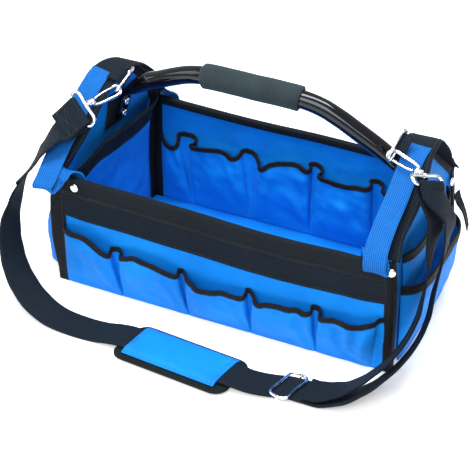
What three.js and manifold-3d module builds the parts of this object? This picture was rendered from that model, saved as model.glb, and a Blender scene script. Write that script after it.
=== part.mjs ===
import * as THREE from 'three';
import { mergeVertices } from 'three/addons/utils/BufferGeometryUtils.js';
import Module from 'manifold-3d';

// Open top tool tote, millimetres, +Z up, front towards -Y.
// Origin: centre of the floor's underside.

// ---- driving dimensions -------------------------------------------------
const LEN = 420;          // body length along X at the floor
const DEP = 220;          // body depth along Y
const RIM = 140;          // height of the long rims
const WALL = 3;           // stiffened cloth wall
const CORNER_R = 12;      // plan radius of the upright corners
const GAP = 0.3;          // gap between touching pieces
const BAND_H = 50;        // webbing band on the long rims
const BAND_T = 1.6;       // webbing thickness
const ARCH_W = 38;        // webbing over each arch
const SIDE_WEB_W = 26;    // blue side webbing
const POCKET_TOP = 62;    // mouth height of the front pockets
const POCKET_BACK_TOP = 98; // mouth height of the inside back pockets
const POCKET_GAPE = 15;   // how far a mouth stands off the wall
const SHEET_T = 1.5;      // pocket cloth
const TAPE_T = 1.2;       // binding tape stand-off on a mouth
const TAPE_H = 9;         // binding tape height
const TUBE_R = 10.5;      // handle tube radius
const GRIP_R = 14.5;      // foam grip radius
const GRIP_L = 120;       // foam grip length
const STRAP_W = 40;       // shoulder strap width
const STRAP_T = 1.8;      // shoulder strap thickness
const PAD_L = 146, PAD_W = 66, PAD_T = 6.5;   // shoulder pad
const RIVET_R = 5.2;

// ---- colours --------------------------------------------------------------
const BLUE = 0x1478e0, WEB_BLUE = 0x1c66cc, BLACK = 0x1b2129, FOAM = 0x2f3e42,
  STEEL = 0xd4d8da, TUBE = 0x0c0d10, PAD = 0x10201d;
const mat = (color, roughness, metalness = 0) =>
  new THREE.MeshStandardMaterial({ color, roughness, metalness });

// ---- small maths ------------------------------------------------------------
const V = (x, y, z) => new THREE.Vector3(x, y, z);
const clamp01 = (t) => Math.min(1, Math.max(0, t));
const smooth = (a, b, t) => { const s = clamp01((t - a) / (b - a)); return s * s * (3 - 2 * s); };
const mix = (a, b, t) => a + (b - a) * t;
// smooth look-up in a table of [key, value] rows
function table(rows, key) {
  if (key <= rows[0][0]) return rows[0][1];
  const n = rows.length;
  if (key >= rows[n - 1][0]) return rows[n - 1][1];
  let i = 0;
  while (key > rows[i + 1][0]) i++;
  const slope = (k) => (k <= 0 || k >= n - 1) ? 0
    : (rows[k + 1][1] - rows[k - 1][1]) / (rows[k + 1][0] - rows[k - 1][0]);
  const h = rows[i + 1][0] - rows[i][0], t = (key - rows[i][0]) / h;
  const t2 = t * t, t3 = t2 * t;
  return (2 * t3 - 3 * t2 + 1) * rows[i][1] + (t3 - 2 * t2 + t) * h * slope(i)
    + (-2 * t3 + 3 * t2) * rows[i + 1][1] + (t3 - t2) * h * slope(i + 1);
}

// ---- form of the body ---------------------------------------------------------
// outline of an end seen from the side: [distance from the middle, rim height]
const ARCH = [[0, 234], [20, 230.5], [32, 221], [45, 208], [60, 191], [76, 173], [90, 158.5], [102, 147], [110, 140]];
// how far an end leans inwards: [height, lean]
const LEAN = [[0, 0], [90, 0], [140, 5], [175, 14], [200, 19], [240, 23]];
// sag of the long rims: [position along X, change of height]
const SAG = [[-210, 3], [-150, 1], [-60, -1], [20, 0], [90, -1], [150, -1], [210, 2]];
const SAG_FRONT = [[-210, 2], [-172, 0], [-110, -0.6], [-71, -2], [-21, -3.2], [16, -5], [53, -6.2], [101, -6], [148, -4.2], [174, -4], [210, -1]];

const archTop = (y, side) => table(ARCH, Math.abs(y)) + (side < 0 ? 0 : -9) * smooth(95, 20, Math.abs(y));
const rimLong = (x, sign) => RIM + table(sign < 0 ? SAG_FRONT : SAG, x);
// the back of each end stands further in than its front
const endX = (side, y, z) => side * (LEN / 2 - table(LEAN, z) * (side < 0 ? 1 : 0.75) - (side < 0 ? 5 : 16) * (y + DEP / 2) / DEP)
  + (side < 0 ? 0.16 * y * smooth(140, 210, z) - 7 * smooth(0, 60, z) * smooth(170, 105, z) * smooth(10, -100, y) : 0);
const longBulge = (x, z) => 2.5 * Math.sin(Math.PI * clamp01(z / RIM)) * (1 - (x / 210) ** 2);
const longY = (sign, x, z) => sign * (DEP / 2 + longBulge(x, z) + (sign < 0 ? 2.5 * smooth(40, 140, z) : 0));

// the long walls end where the end walls' corners begin
const longScale = (sign, x) => (sign > 0 ? (x < 0 ? 205 : 194) : 210) / 210;
// point on the outer face of the body, off millimetres outside it
function wallPoint(st, z, off) {
  const r = CORNER_R;
  if (st.kind === 'long') {
    return V(st.x, longY(st.sign, st.x, z) + st.sign * off, z);
  }
  if (st.kind === 'end') {
    return V(endX(st.side, st.y, z) + st.side * off, st.y, z);
  }
  const cx = endX(st.side, st.sign * (DEP / 2 - r), z) - st.side * r;
  const cy = longY(st.sign, st.side * (LEN / 2 - r), z) - st.sign * r;
  const c = Math.cos(st.ang), s = Math.sin(st.ang);
  return V(cx + st.side * (r + off) * c, cy + st.sign * (r + off) * s, z);
}
function rimOf(st) {
  if (st.kind === 'long') return rimLong(st.x, st.sign);
  if (st.kind === 'end') return archTop(st.y, st.side);
  const y = DEP / 2 - CORNER_R + CORNER_R * Math.sin(st.ang);
  return mix(archTop(y, st.side), rimLong(st.side * (LEN / 2 - CORNER_R), st.sign), smooth(0.4, 1.5, st.ang));
}
// stations around the body, anticlockwise from the right end's front corner
const endYs = [-98, -88, -76, -62, -48, -34, -20, -7, 7, 20, 34, 48, 62, 76, 88, 98];
const longXs = [-198, -150, -100, -50, 0, 50, 100, 150, 198];
const cornerAngs = [0.26, 0.785, 1.31];
const ring = [];
for (const y of endYs) ring.push({ kind: 'end', side: 1, y });
for (const a of cornerAngs) ring.push({ kind: 'corner', side: 1, sign: 1, ang: a });
for (const x of [...longXs].reverse()) ring.push({ kind: 'long', sign: 1, x: x * longScale(1, x) });
for (const a of [...cornerAngs].reverse()) ring.push({ kind: 'corner', side: -1, sign: 1, ang: a });
for (const y of [...endYs].reverse()) ring.push({ kind: 'end', side: -1, y });
for (const a of cornerAngs) ring.push({ kind: 'corner', side: -1, sign: -1, ang: a });
for (const x of longXs) ring.push({ kind: 'long', sign: -1, x });
for (const a of [...cornerAngs].reverse()) ring.push({ kind: 'corner', side: 1, sign: -1, ang: a });

// ---- builders -----------------------------------------------------------------
function geometryOf(points, faces) {
  const g = new THREE.BufferGeometry();
  g.setAttribute('position', new THREE.BufferAttribute(new Float32Array(points.flatMap((p) => [p.x, p.y, p.z])), 3));
  g.setIndex(faces.flat());
  g.computeVertexNormals();
  return g;
}
// volume sign of a closed mesh
function volume6(points, faces) {
  let v = 0;
  for (const [a, b, c] of faces) v += points[a].dot(V(0, 0, 0).crossVectors(points[b], points[c]));
  return v;
}
function closed(points, faces) {
  const f = volume6(points, faces) < 0 ? faces.map(([a, b, c]) => [a, c, b]) : faces;
  return geometryOf(points, f);
}
// cloth slab: grid[i][j] is its middle surface, thick may be a number or a function of i, j
function slab(grid, thick) {
  const ni = grid.length, nj = grid[0].length, pts = [], top = [], bot = [];
  for (let i = 0; i < ni; i++) {
    for (let j = 0; j < nj; j++) {
      const du = V(0, 0, 0).subVectors(grid[Math.min(i + 1, ni - 1)][j], grid[Math.max(i - 1, 0)][j]);
      const dv = V(0, 0, 0).subVectors(grid[i][Math.min(j + 1, nj - 1)], grid[i][Math.max(j - 1, 0)]);
      const n = du.cross(dv).normalize(), t = (typeof thick === 'function' ? thick(i, j) : thick) / 2;
      top.push(pts.push(grid[i][j].clone().addScaledVector(n, t)) - 1);
      bot.push(pts.push(grid[i][j].clone().addScaledVector(n, -t)) - 1);
    }
  }
  const f = [], k = (i, j) => i * nj + j;
  for (let i = 0; i < ni - 1; i++) {
    for (let j = 0; j < nj - 1; j++) {
      const a = k(i, j), b = k(i + 1, j), c = k(i + 1, j + 1), d = k(i, j + 1);
      f.push([top[a], top[b], top[c]], [top[a], top[c], top[d]]);
      f.push([bot[a], bot[c], bot[b]], [bot[a], bot[d], bot[c]]);
    }
  }
  const edge = [];
  for (let i = 0; i < ni; i++) edge.push(k(i, 0));
  for (let j = 1; j < nj; j++) edge.push(k(ni - 1, j));
  for (let i = ni - 2; i >= 0; i--) edge.push(k(i, nj - 1));
  for (let j = nj - 2; j > 0; j--) edge.push(k(0, j));
  for (let e = 0; e < edge.length; e++) {
    const a = edge[e], b = edge[(e + 1) % edge.length];
    f.push([top[a], bot[a], bot[b]], [top[a], bot[b], top[b]]);
  }
  return closed(pts, f);
}
// solid through a list of closed sections with the same number of points
function loft(sections, loop = false) {
  const n = sections.length, m = sections[0].length, pts = sections.flat(), f = [];
  for (let i = 0; i < (loop ? n : n - 1); i++) {
    const p = i * m, q = ((i + 1) % n) * m;
    for (let j = 0; j < m; j++) {
      const k = (j + 1) % m;
      f.push([p + j, p + k, q + k], [p + j, q + k, q + j]);
    }
  }
  if (!loop) {
    for (let j = 1; j < m - 1; j++) {
      f.push([0, j + 1, j], [(n - 1) * m, (n - 1) * m + j, (n - 1) * m + j + 1]);
    }
  }
  return closed(pts, f);
}
const rowCurve = (rows, pick) => new THREE.CatmullRomCurve3(rows.map(pick), false, 'centripetal');
// flat webbing through rows { at:[x,y,z], across:[x,y,z], w }
function ribbon(rows, steps, thick, even = true) {
  const c = rowCurve(rows, (r) => V(...r.at));
  const cum = c.getLengths(400), total = cum[400];
  const n = rows.length - 1, sections = [];
  for (let i = 0; i <= steps; i++) {
    const t = even ? c.getUtoTmapping(i / steps) : i / steps;
    const s = t * n, a = Math.min(Math.floor(s), n - 1), u = s - a;
    const p = c.getPoint(t), tan = c.getTangent(t);
    const w = V(...rows[a].across).normalize().lerp(V(...rows[a + 1].across).normalize(), smooth(0, 1, u));
    w.addScaledVector(tan, -w.dot(tan)).normalize();
    const nrm = V(0, 0, 0).crossVectors(tan, w).normalize();
    const hw = mix(rows[a].w, rows[a + 1].w, u) / 2, ht = thick / 2;
    sections.push([[-1, -1], [1, -1], [1, 1], [-1, 1]].map(([x, y]) =>
      p.clone().addScaledVector(w, x * hw).addScaledVector(nrm, y * ht)));
  }
  return { geometry: loft(sections), length: total };
}
// round rod along a polyline of points
function rod(points, r, sides, steps, isClosed = false) {
  const c = new THREE.CatmullRomCurve3(points.map((p) => V(...p)), isClosed, 'centripetal');
  const shape = new THREE.Shape();
  for (let i = 0; i < sides; i++) {
    const a = (i / sides) * 2 * Math.PI;
    if (i) shape.lineTo(r * Math.cos(a), r * Math.sin(a)); else shape.moveTo(r * Math.cos(a), r * Math.sin(a));
  }
  shape.closePath();
  return tidy(new THREE.ExtrudeGeometry(shape, { extrudePath: c, steps, bevelEnabled: false, curveSegments: 1 }));
}
function tidy(g) {
  const h = g.clone();
  h.deleteAttribute('normal'); h.deleteAttribute('uv'); h.clearGroups();
  const m = mergeVertices(h, 1e-3);
  const idx = m.getIndex().array, keep = [];
  for (let i = 0; i < idx.length; i += 3) {
    const [a, b, c] = [idx[i], idx[i + 1], idx[i + 2]];
    if (a !== b && b !== c && a !== c) keep.push(a, b, c);
  }
  m.setIndex(keep);
  m.computeVertexNormals();
  return m;
}
const wasm = await Module();
wasm.setup();
function toSolid(g) {
  const m = tidy(g);
  return new wasm.Manifold(new wasm.Mesh({
    numProp: 3,
    vertProperties: new Float32Array(m.getAttribute('position').array),
    triVerts: new Uint32Array(m.getIndex().array),
  }));
}
function fromSolid(s) {
  const m = s.getMesh(), g = new THREE.BufferGeometry();
  g.setAttribute('position', new THREE.BufferAttribute(new Float32Array(m.vertProperties), 3));
  g.setIndex(Array.from(m.triVerts));
  g.computeVertexNormals();
  return g;
}
const join = (...gs) => fromSolid(gs.slice(1).reduce((s, g) => s.add(toSolid(g)), toSolid(gs[0])));

const tote = new THREE.Group();
tote.name = 'tool_tote';
function put(name, geometry, material, parent = tote) {
  const m = new THREE.Mesh(geometry, material);
  m.name = name;
  parent.add(m);
  return m;
}

// ---- body shell ---------------------------------------------------------------
{
  const outRows = [0, 0.25, 0.5, 0.66, 0.8, 0.91, 1], n = ring.length, pts = [], f = [], m = outRows.length * 2;
  for (const st of ring) {
    const h = rimOf(st);
    for (const t of outRows) pts.push(wallPoint(st, t * h, t === 0 ? -1.5 : 0));
    for (const t of [...outRows].reverse()) pts.push(wallPoint(st, t === 0 ? WALL : t * h, -WALL));
  }
  for (let i = 0; i < n; i++) {
    const a = i * m, b = ((i + 1) % n) * m;
    for (let j = 0; j < m - 1; j++) f.push([a + j, b + j, b + j + 1], [a + j, b + j + 1, a + j + 1]);
  }
  const under = pts.push(V(0, 0, 0)) - 1, over = pts.push(V(0, 0, WALL)) - 1;
  for (let i = 0; i < n; i++) {
    const a = i * m, b = ((i + 1) % n) * m;
    f.push([under, b, a], [over, a + m - 1, b + m - 1]);
  }
  put('body_shell', closed(pts, f), mat(BLUE, 0.75));
}

// ---- bands over the long rims ------------------------------------------------
// path of the band across the rim: [side of wall (+1 outside), distance below the rim]
for (const [name, sign, inner] of [['front_band', -1, 13], ['back_band', 1, 13]]) {
  const xs = [-193.5, -150, -100, -50, 0, 50, 100, 150, 193.5].map((x) => x * longScale(sign, x)), half = 2 * GAP + 0.25 + BAND_T / 2;
  const grid = xs.map((x) => {
    const h = rimLong(x, sign), p = (off, z) => V(x, longY(sign, x, Math.min(z, h)) + sign * off, z);
    return [p(half, h - BAND_H), p(half, h - BAND_H / 2), p(half, h - 3), p(half - 0.4, h + half * 0.55),
      p(-WALL / 2, h + half + 0.15), p(-WALL - half + 0.4, h + half * 0.55), p(-WALL - half, h - 3), p(-WALL - half, h - inner)];
  });
  put(name, slab(grid, BAND_T), mat(BLACK, 0.8));
}

// ---- tape on the upright corners -------------------------------------------------
for (const [name, side, sign] of [['binding_fl', -1, -1], ['binding_fr', 1, -1], ['binding_bl', -1, 1], ['binding_br', 1, 1]]) {
  const off = 2 * GAP + 1.2, stations = [{ kind: 'end', side, y: sign * 91 }, { kind: 'end', side, y: sign * 98 },
    ...cornerAngs.map((ang) => ({ kind: 'corner', side, sign, ang })), { kind: 'long', sign, x: side * 196.3 * longScale(sign, side) }];
  const grid = stations.map((st) => [0.4, 36, 72, 96, 118, 137].map((z) => wallPoint(st, z, off)));
  put(name, slab(grid, 1.4), mat(BLACK, 0.85));
}
for (const [name, side] of [['inner_tape_bl', -1], ['inner_tape_br', 1]]) {
  const off = -WALL - GAP - 0.7;
  const stations = [{ kind: 'end', side, y: 96 }, { kind: 'corner', side, sign: 1, ang: 0.3 }, { kind: 'corner', side, sign: 1, ang: 1.25 }, { kind: 'long', sign: 1, x: side * 197 * longScale(1, side) }];
  const grid = stations.map((st) => [WALL + 0.6, 40, 80, 110, 129].map((z) => wallPoint(st, Math.min(z, rimOf(st) - 1.5), off)));
  put(name, slab(grid, 1.2), mat(BLACK, 0.85));
}

// ---- webbing over each arch ----------------------------------------------------
// rows: y, width, shift outwards from the panel
const ARCH_ROWS = [[-101, 15, 1], [-97, 15, 1], [-88, 18, 1], [-76, 27, 2], [-62, 35, 4], [-48, 38, 5], [-34, 38, 6], [-20, 38, 6], [-7, 38, 6],
  [7, 38, 5], [20, 38, 4], [34, 38, 3], [48, 38, 2], [62, 36, 0], [76, 28, -1], [88, 20, 0], [97, 15, 0], [101, 15, 0]];
const ARCH_LIFT = 1.6 + BAND_T / 2;
function archNormal(y, side) {
  const dz = (archTop(y + 2, side) - archTop(y - 2, side)) / 4;
  return V(0, -dz, 1).normalize();
}
function archRow(y, w, shift, side, lift) {
  const z = archTop(y, side), n = archNormal(y, side);
  return V(endX(side, y, z) + side * (shift - WALL / 2), y, z).addScaledVector(n, lift);
}
for (const [name, side] of [['arch_band_left', -1], ['arch_band_right', 1]]) {
  const grid = ARCH_ROWS.map(([y, w, shift]) => {
    const c = archRow(y, w, shift + (side > 0 ? 2 : 0), side, ARCH_LIFT);
    return [-1, 0, 1].map((k) => c.clone().add(V(k * w / 2, 0, 0)));
  });
  put(name, slab(grid, BAND_T), mat(BLACK, 0.85));
}

// ---- pleated pockets ---------------------------------------------------------------
// rows down a pocket cloth: [fraction of the height, share of the gape, half width of a pleat]
const PLEAT = [[0, 0.1, 1.2], [0.35, 0.5, 3.2], [0.7, 0.85, 5.5], [1, 1, 7.5]];
// droop of a mouth between two pleats: [fraction across, drop, gape share]
const MOUTH = [[0, 0, 0.02], [0.07, 1, 0.55], [0.13, 4, 0.9], [0.33, 9, 1], [0.6, 8, 1], [0.87, 4, 0.92], [0.93, 1, 0.6]];
// seams: [x at the floor, x at the mouth, mouth drop of the pocket to its right]
const FRONT_SEAMS = [[-193.5, -193.5, 0.9], [-121, -130, 1], [-37, -44, 0.8], [42, 41, 0.9], [122, 122, 0.9], [193, 193, 0]];
// the front mouth climbs towards both corners
const frontRise = (x) => 16 * smooth(-145, -190, x) + 15 * smooth(168, 192, x);
const BACK_SEAMS = [[-186, -186, 0.9], [-150, -157, 0.8], [-66, -72, 1.1], [14, 20, 0.7], [93, 100, 1], [172, 172, 0]];
function pleatedStations(seams) {
  const list = [];
  for (let k = 0; k < seams.length - 1; k++) {
    for (const [t, drop, share] of MOUTH) list.push({ k, t, drop: drop * seams[k][2], share });
  }
  list.push({ k: seams.length - 2, t: 1, drop: 0, share: 0.02 });
  return list;
}
// where across its pocket a station lies at a given pleat half width
function stationX(q, seams, f, half) {
  const a = mix(seams[q.k][0], seams[q.k][1], f), b = mix(seams[q.k + 1][0], seams[q.k + 1][1], f);
  const s = { t: q.t, x: a, w: b - a };
  if (s.t === 0) return s.x;
  if (s.t === 1) return s.x + s.w;
  if (s.t < 0.1) return s.x + half * 0.55;
  if (s.t > 0.9) return s.x + s.w - half * 0.55;
  if (s.t < 0.2) return s.x + half;
  if (s.t > 0.8) return s.x + s.w - half;
  return s.x + half + (s.w - 2 * half) * s.t;
}
function pleatGrid(seams, z0, z1, wallY, dir, gape, thick, rise = () => 0) {
  return pleatedStations(seams).map((s) => PLEAT.map(([f, share, half]) => {
    const x = stationX(s, seams, f, half), z = z0 + (z1 - s.drop + rise(x) - z0) * f;
    const off = GAP + thick / 2 + 0.2 + gape * share * s.share;
    return V(x, wallY(x, z) + dir * off, z);
  }));
}
const frontGrid = pleatGrid(FRONT_SEAMS, 1.2, POCKET_TOP, (x, z) => longY(-1, x, z), -1, POCKET_GAPE, SHEET_T, frontRise);
put('front_pockets', slab(frontGrid, SHEET_T), mat(BLUE, 0.75));
const backGrid = pleatGrid(BACK_SEAMS, WALL + 0.6, POCKET_BACK_TOP, (x, z) => longY(1, x, z) - WALL, -1, POCKET_GAPE, SHEET_T);
put('back_pockets', slab(backGrid, SHEET_T), mat(BLUE, 0.75));
// a long side's tape follows the mouth as one band standing on the cloth's edge
function capTape(grid, height, thick) {
  const m = grid[0].length - 1, n = grid.length;
  const rows = grid.map((g) => {
    const dv = V(0, 0, 0).subVectors(g[m], g[m - 1]).normalize(), base = g[m].clone().addScaledVector(dv, 2 * GAP);
    return [base, base.clone().addScaledVector(dv, height)];
  });
  return slab(rows, thick);
}
put('front_pocket_tape', capTape(frontGrid, TAPE_H - 3, 2.6), mat(BLACK, 0.85));
put('back_pocket_tape', capTape(backGrid, TAPE_H - 3, 2.6), mat(BLACK, 0.85));

// ---- pockets on the ends --------------------------------------------------------
// rows: [height, stand-off in the middle]
function endPocket(side, rows, y0, y1, ny, power, inside) {
  const dip = inside ? leftDip : () => 0;
  const grid = [];
  for (let i = 0; i <= ny; i++) {
    const s = -Math.cos((i / ny) * Math.PI), y = mix(y0, y1, (s + 1) / 2);
    const dome = (1 - Math.abs(s) ** power) ** 0.8;
    grid.push(rows.map(([height, off]) => {
      const z = height - dip(y, height);
      const d = GAP + SHEET_T / 2 + (inside ? 2.1 : 0.8) + off * dome;
      return V(endX(side, y, z) + side * (inside ? -WALL - d : d), y, z);
    }));
  }
  return grid;
}
const RIGHT_LOW = [[1.2, 4], [30, 14], [62, 20], [90, 23.5]];
const RIGHT_HIGH = [[40, 1.5], [70, 3.5], [100, 6.5], [126, 10.5]];
const LEFT_OUT = [[3, 25], [34, 24], [62, 19], [88, 15]];
const LEFT_IN = [[WALL + 1, 3], [50, 6], [95, 10.5], [133, 13.5]];
// its mouth turns down towards the front
const leftDip = (y, z) => 36 * clamp01((-42 - y) / 36) ** 2 * smooth(40, 133, z);
for (const [pocket, tape, side, rows, y0, y1, power, inside, h] of [
  ['right_low_pocket', 'right_low_tape', 1, RIGHT_LOW, -87, 87, 6, false, 8],
  ['right_high_pocket', 'right_high_tape', 1, RIGHT_HIGH, -80, 80, 5, false, 8],
  ['left_outer_pocket', 'left_outer_tape', -1, LEFT_OUT, -90, 90, 9, false, 8],
  ['left_inner_pocket', 'left_inner_tape', -1, LEFT_IN, -78, 84, 5, true, 27],
]) {
  const grid = endPocket(side, rows, y0, y1, 14, power, inside);
  put(pocket, slab(grid, SHEET_T), mat(BLUE, 0.75));
  const cap = inside ? slab(endPocket(side, [[134, 13.5], [147, 14.5], [134 + h, 16]], y0, y1, 14, power, inside), 2.4) : capTape(grid, h, 2.4);
  put(tape, cap, mat(BLACK, 0.85));
}


// ---- side webbings from each arch to the long rims -----------------------------------
// rows along a webbing: centre; it starts on the arch band and ends inside the rim
const onArch = (side, x, y) => [x, y, archTop(y, side) + (ARCH_LIFT + BAND_T / 2 + GAP + 1.5) / Math.max(0.6, archNormal(y, side).z) ];
const WEB_ROWS = {
  side_web_lf: [onArch(-1, -196, -19), onArch(-1, -199, -32), onArch(-1, -203, -45), [-208, -72, 188], [-210, -104, 163], [-210, -128, 144],
    [-210, -137, 137], [-204, -134, 133], [-196, -126, 138], [-189, -120, 147], [-185, -112, 150.5], [-183, -105.2, 144], [-183, -104.6, 131]],
  side_web_rf: [onArch(1, 194, -10), onArch(1, 193, -27), onArch(1, 192, -43), [192, -70, 191], [191, -95, 173], [192, -118, 155],
    [193, -127, 141], [193, -126.5, 134.5], [192, -122.6, 133.6], [190, -120.2, 140], [187, -118.6, 148], [184, -111, 151.5], [182, -105, 144], [182, -104.4, 131]],
  side_web_lb: [onArch(-1, -190, 46), onArch(-1, -190, 56), onArch(-1, -190, 66), [-188, 98, 160], [-187, 112, 151], [-186, 119, 143],
    [-186, 120.5, 136], [-186, 118, 131.5], [-186, 116, 127]],
  side_web_rb: [onArch(1, 182, 46), onArch(1, 181, 56), onArch(1, 180, 66), [178, 98, 160], [177, 112, 151], [176, 119, 143],
    [176, 120.5, 136], [176, 118, 131.5], [176, 116, 127]],
};
for (const [name, pts] of Object.entries(WEB_ROWS)) {
  const r = ribbon(pts.map((at) => ({ at, across: [1, 0, 0], w: SIDE_WEB_W })), 26, BAND_T);
  put(name, r.geometry, mat(WEB_BLUE, 0.7));
}
const tailRows = [{ at: [201.5, 97, 117], across: [0.1, 1, 0], w: 13 }, { at: [204.5, 98, 107], across: [0, 1, 0.2], w: 13 },
  { at: [211, 99, 95], across: [-0.25, 1, 0.2], w: 14 }, { at: [217, 100, 72], across: [-0.25, 1, 0], w: 15 }];
put('tail_strap', ribbon(tailRows, 6, 1.6).geometry, mat(BLACK, 0.85));

// ---- handle ------------------------------------------------------------------------------
// rows: centre x, y, z, half width along Y, half thickness across it
const tabX = (side, z) => endX(side, 3, z) - side * (WALL + 5.6);
const HANDLE = [
  [tabX(-1, 166), 3, 166, 9, 1.6], [tabX(-1, 180), 3, 180, 9.5, 1.6], [tabX(-1, 190), 3, 190, 9.5, 1.7], [-178.5, 3, 199, 10.5, 2.4], [-172, 3, 207, 12, 5.5],
  [-163, 2, 213.5, 11, 9], [-151, 0, 222, TUBE_R, TUBE_R], [-130, -3, 231.5, TUBE_R, TUBE_R], [-108, -7, 242, TUBE_R, TUBE_R],
  [-88, -10, 250, TUBE_R, TUBE_R], [-66, -13, 255, TUBE_R, TUBE_R], [-6, -14, 255.5, TUBE_R, TUBE_R], [52, -13, 254, TUBE_R, TUBE_R],
  [76, -9, 247.5, TUBE_R, TUBE_R], [96, -6, 237.5, TUBE_R, TUBE_R], [118, -3, 224, TUBE_R, TUBE_R], [140, 0, 210, TUBE_R, TUBE_R],
  [153, 2, 201, 11, 9], [163, 3, 193.5, 12, 5.5], [170.5, 3, 186, 10.5, 2.4], [tabX(1, 177), 3, 177, 9.5, 1.7], [tabX(1, 165), 3, 165, 9.5, 1.6], [tabX(1, 151), 3, 151, 9, 1.6]];
const handleCurve = new THREE.CatmullRomCurve3(HANDLE.map(([x, y, z]) => V(x, y, z)), false, 'centripetal');
{
  const n = HANDLE.length - 1, sides = 12, sections = [], steps = 44;
  for (let i = 0; i <= steps; i++) {
    const t = handleCurve.getUtoTmapping(i / steps), s = t * n, a = Math.min(Math.floor(s), n - 1), u = s - a;
    const p = handleCurve.getPoint(t), tan = handleCurve.getTangent(t);
    const w = V(0, 1, 0).addScaledVector(tan, -tan.y).normalize(), nn = V(0, 0, 0).crossVectors(tan, w);
    const hw = mix(HANDLE[a][3], HANDLE[a + 1][3], u), ht = mix(HANDLE[a][4], HANDLE[a + 1][4], u);
    sections.push(Array.from({ length: sides }, (_, k) => {
      const g = ((k + 0.5) / sides) * 2 * Math.PI;
      return p.clone().addScaledVector(w, hw * Math.cos(g)).addScaledVector(nn, ht * Math.sin(g));
    }));
  }
  put('handle_tube', loft(sections), mat(TUBE, 0.25, 0.4));
}
{
  // foam sleeve along the straight middle of the tube
  const a = V(-66, -13, 255), b = V(52, -13, 254), outer = [], inner = [], k = 16, steps = 6;
  const pos = (u) => handleCurve.getPoint(handleNear(mix(-66, 53.5, u)));
  function handleNear(x) {
    let lo = 0, hi = 1;
    for (let i = 0; i < 40; i++) { const m = (lo + hi) / 2; if (handleCurve.getPoint(m).x < x) lo = m; else hi = m; }
    return (lo + hi) / 2;
  }
  const sections = [];
  const circle = (u, r) => {
    const p = pos(clamp01(u)), d = b.clone().sub(a).normalize();
    const w = V(0, 1, 0).addScaledVector(d, -d.y).normalize(), nn = V(0, 0, 0).crossVectors(d, w);
    return Array.from({ length: k }, (_, j) => { const g = (j / k) * 2 * Math.PI; return p.clone().addScaledVector(w, r * Math.cos(g)).addScaledVector(nn, r * Math.sin(g)); });
  };
  for (let i = 0; i <= steps; i++) sections.push(circle(i / steps, i === 0 || i === steps ? GRIP_R - 1 : GRIP_R));
  for (let i = steps; i >= 0; i--) sections.push(circle(i / steps, TUBE_R + 0.9));
  put('handle_grip', loft(sections, true), mat(FOAM, 0.9));
}
// webbing patch behind each end of the handle, on the inner face of the end
for (const [name, side] of [['handle_back_left', -1], ['handle_back_right', 1]]) {
  const grid = [-26, -10, 6, 20].map((y) => [146, 165, 182, 204].map((z) => V(endX(side, y, z - (side > 0 ? 4 : 0)) - side * (WALL + GAP + 1.7), y, z - (side > 0 ? 4 : 0))));
  put(name, slab(grid, 1.4), mat(BLACK, 0.85));
}

// ---- rivets --------------------------------------------------------------------------------
function rivet(name, at, normal, r = RIVET_R) {
  const prof = [[0, 0], [r, 0], [r, 0.5], [r * 0.86, 1.3], [r * 0.6, 1.6], [r * 0.4, 1.2], [0, 1]].map(([x, y]) => new THREE.Vector2(x, y));
  const m = put(name, tidy(new THREE.LatheGeometry(prof, 12)), mat(STEEL, 0.25, 1));
  m.position.set(...at);
  m.quaternion.setFromUnitVectors(V(0, 1, 0), V(...normal).normalize());
}
rivet('rivet_lf', [-180, -117.3, 133], [0, -1, 0.03]);
rivet('rivet_rf', [209.5, -116.6, 132], [0.25, -1, 0.03]);
rivet('rivet_lb', [endX(-1, 93, 145) + WALL + 0.9, 92.5, 145], [1, 0, -0.2]);
rivet('rivet_rb', [endX(1, 93, 131) + 3.1, 95, 131], [1, 0, 0.05]);
for (const [name, side, z] of [['handle_rivet_l1', -1, 189], ['handle_rivet_l2', -1, 173], ['handle_rivet_r1', 1, 169.5], ['handle_rivet_r2', 1, 158]]) {
  rivet(name, [tabX(side, z) - side * 3, 3, z], [-side, 0, -0.15], 4.6);
}

// ---- rods, rings and hooks -------------------------------------------------------------
// round rod along flat points [u, v] in the plane of U, W through origin O
function flatRod(O, U, W, points, r, sides, steps, isClosed) {
  const N = V(0, 0, 0).crossVectors(U, W).normalize();
  const c = new THREE.CatmullRomCurve3(points.map(([u, v]) => V(u, v, 0)), isClosed, 'centripetal');
  const sections = [], count = isClosed ? steps : steps + 1;
  for (let i = 0; i < count; i++) {
    const p = c.getPointAt(i / steps), t = c.getTangentAt(i / steps);
    const side = U.clone().multiplyScalar(-t.y).addScaledVector(W, t.x);
    const at = O.clone().addScaledVector(U, p.x).addScaledVector(W, p.y);
    sections.push(Array.from({ length: sides }, (_, k) => {
      const g = ((k + 0.5) / sides) * 2 * Math.PI;
      return at.clone().addScaledVector(side, r * Math.cos(g)).addScaledVector(N, r * Math.sin(g));
    }));
  }
  return loft(sections, isClosed);
}
function peg(a, b, r, sides = 10) {
  const d = b.clone().sub(a), len = d.length();
  const g = new THREE.CylinderGeometry(r, r, len, sides);
  const m = new THREE.Matrix4().compose(a.clone().add(b).multiplyScalar(0.5), new THREE.Quaternion().setFromUnitVectors(V(0, 1, 0), d.normalize()), V(1, 1, 1));
  return tidy(g.applyMatrix4(m));
}
const VIEW = V(0.386, -0.758, 0.526);     // the way the hooks face
const HOOK_EYE = 37, HOOK_NECK = 8;       // eye to collar, collar to strap loop
const LOOP_IN = 43, LOOP_DEEP = 12, ROD_R = 2;
// rows: eye centre, way to the collar, way along the ring's bow, long way of the strap loop, way to the strap
const HOOKS = [
  { end: 'left', side: -1, eye: [-168.2, -34.6, 223.7], back: [-17.6, -43.8, -4.8], bow: [0.376, 0.65, 0.66], long: [0.78, -0.45, -0.43], strap: [-0.58, -0.23, -0.78] },
  { end: 'right', side: 1, eye: [171, -34.7, 225], back: [35, -9.3, -7.4], bow: [0.204, 0.628, 0.754], long: [0.3, 0.78, -0.34], strap: [0.78, -0.36, -0.5] },
];
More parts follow.
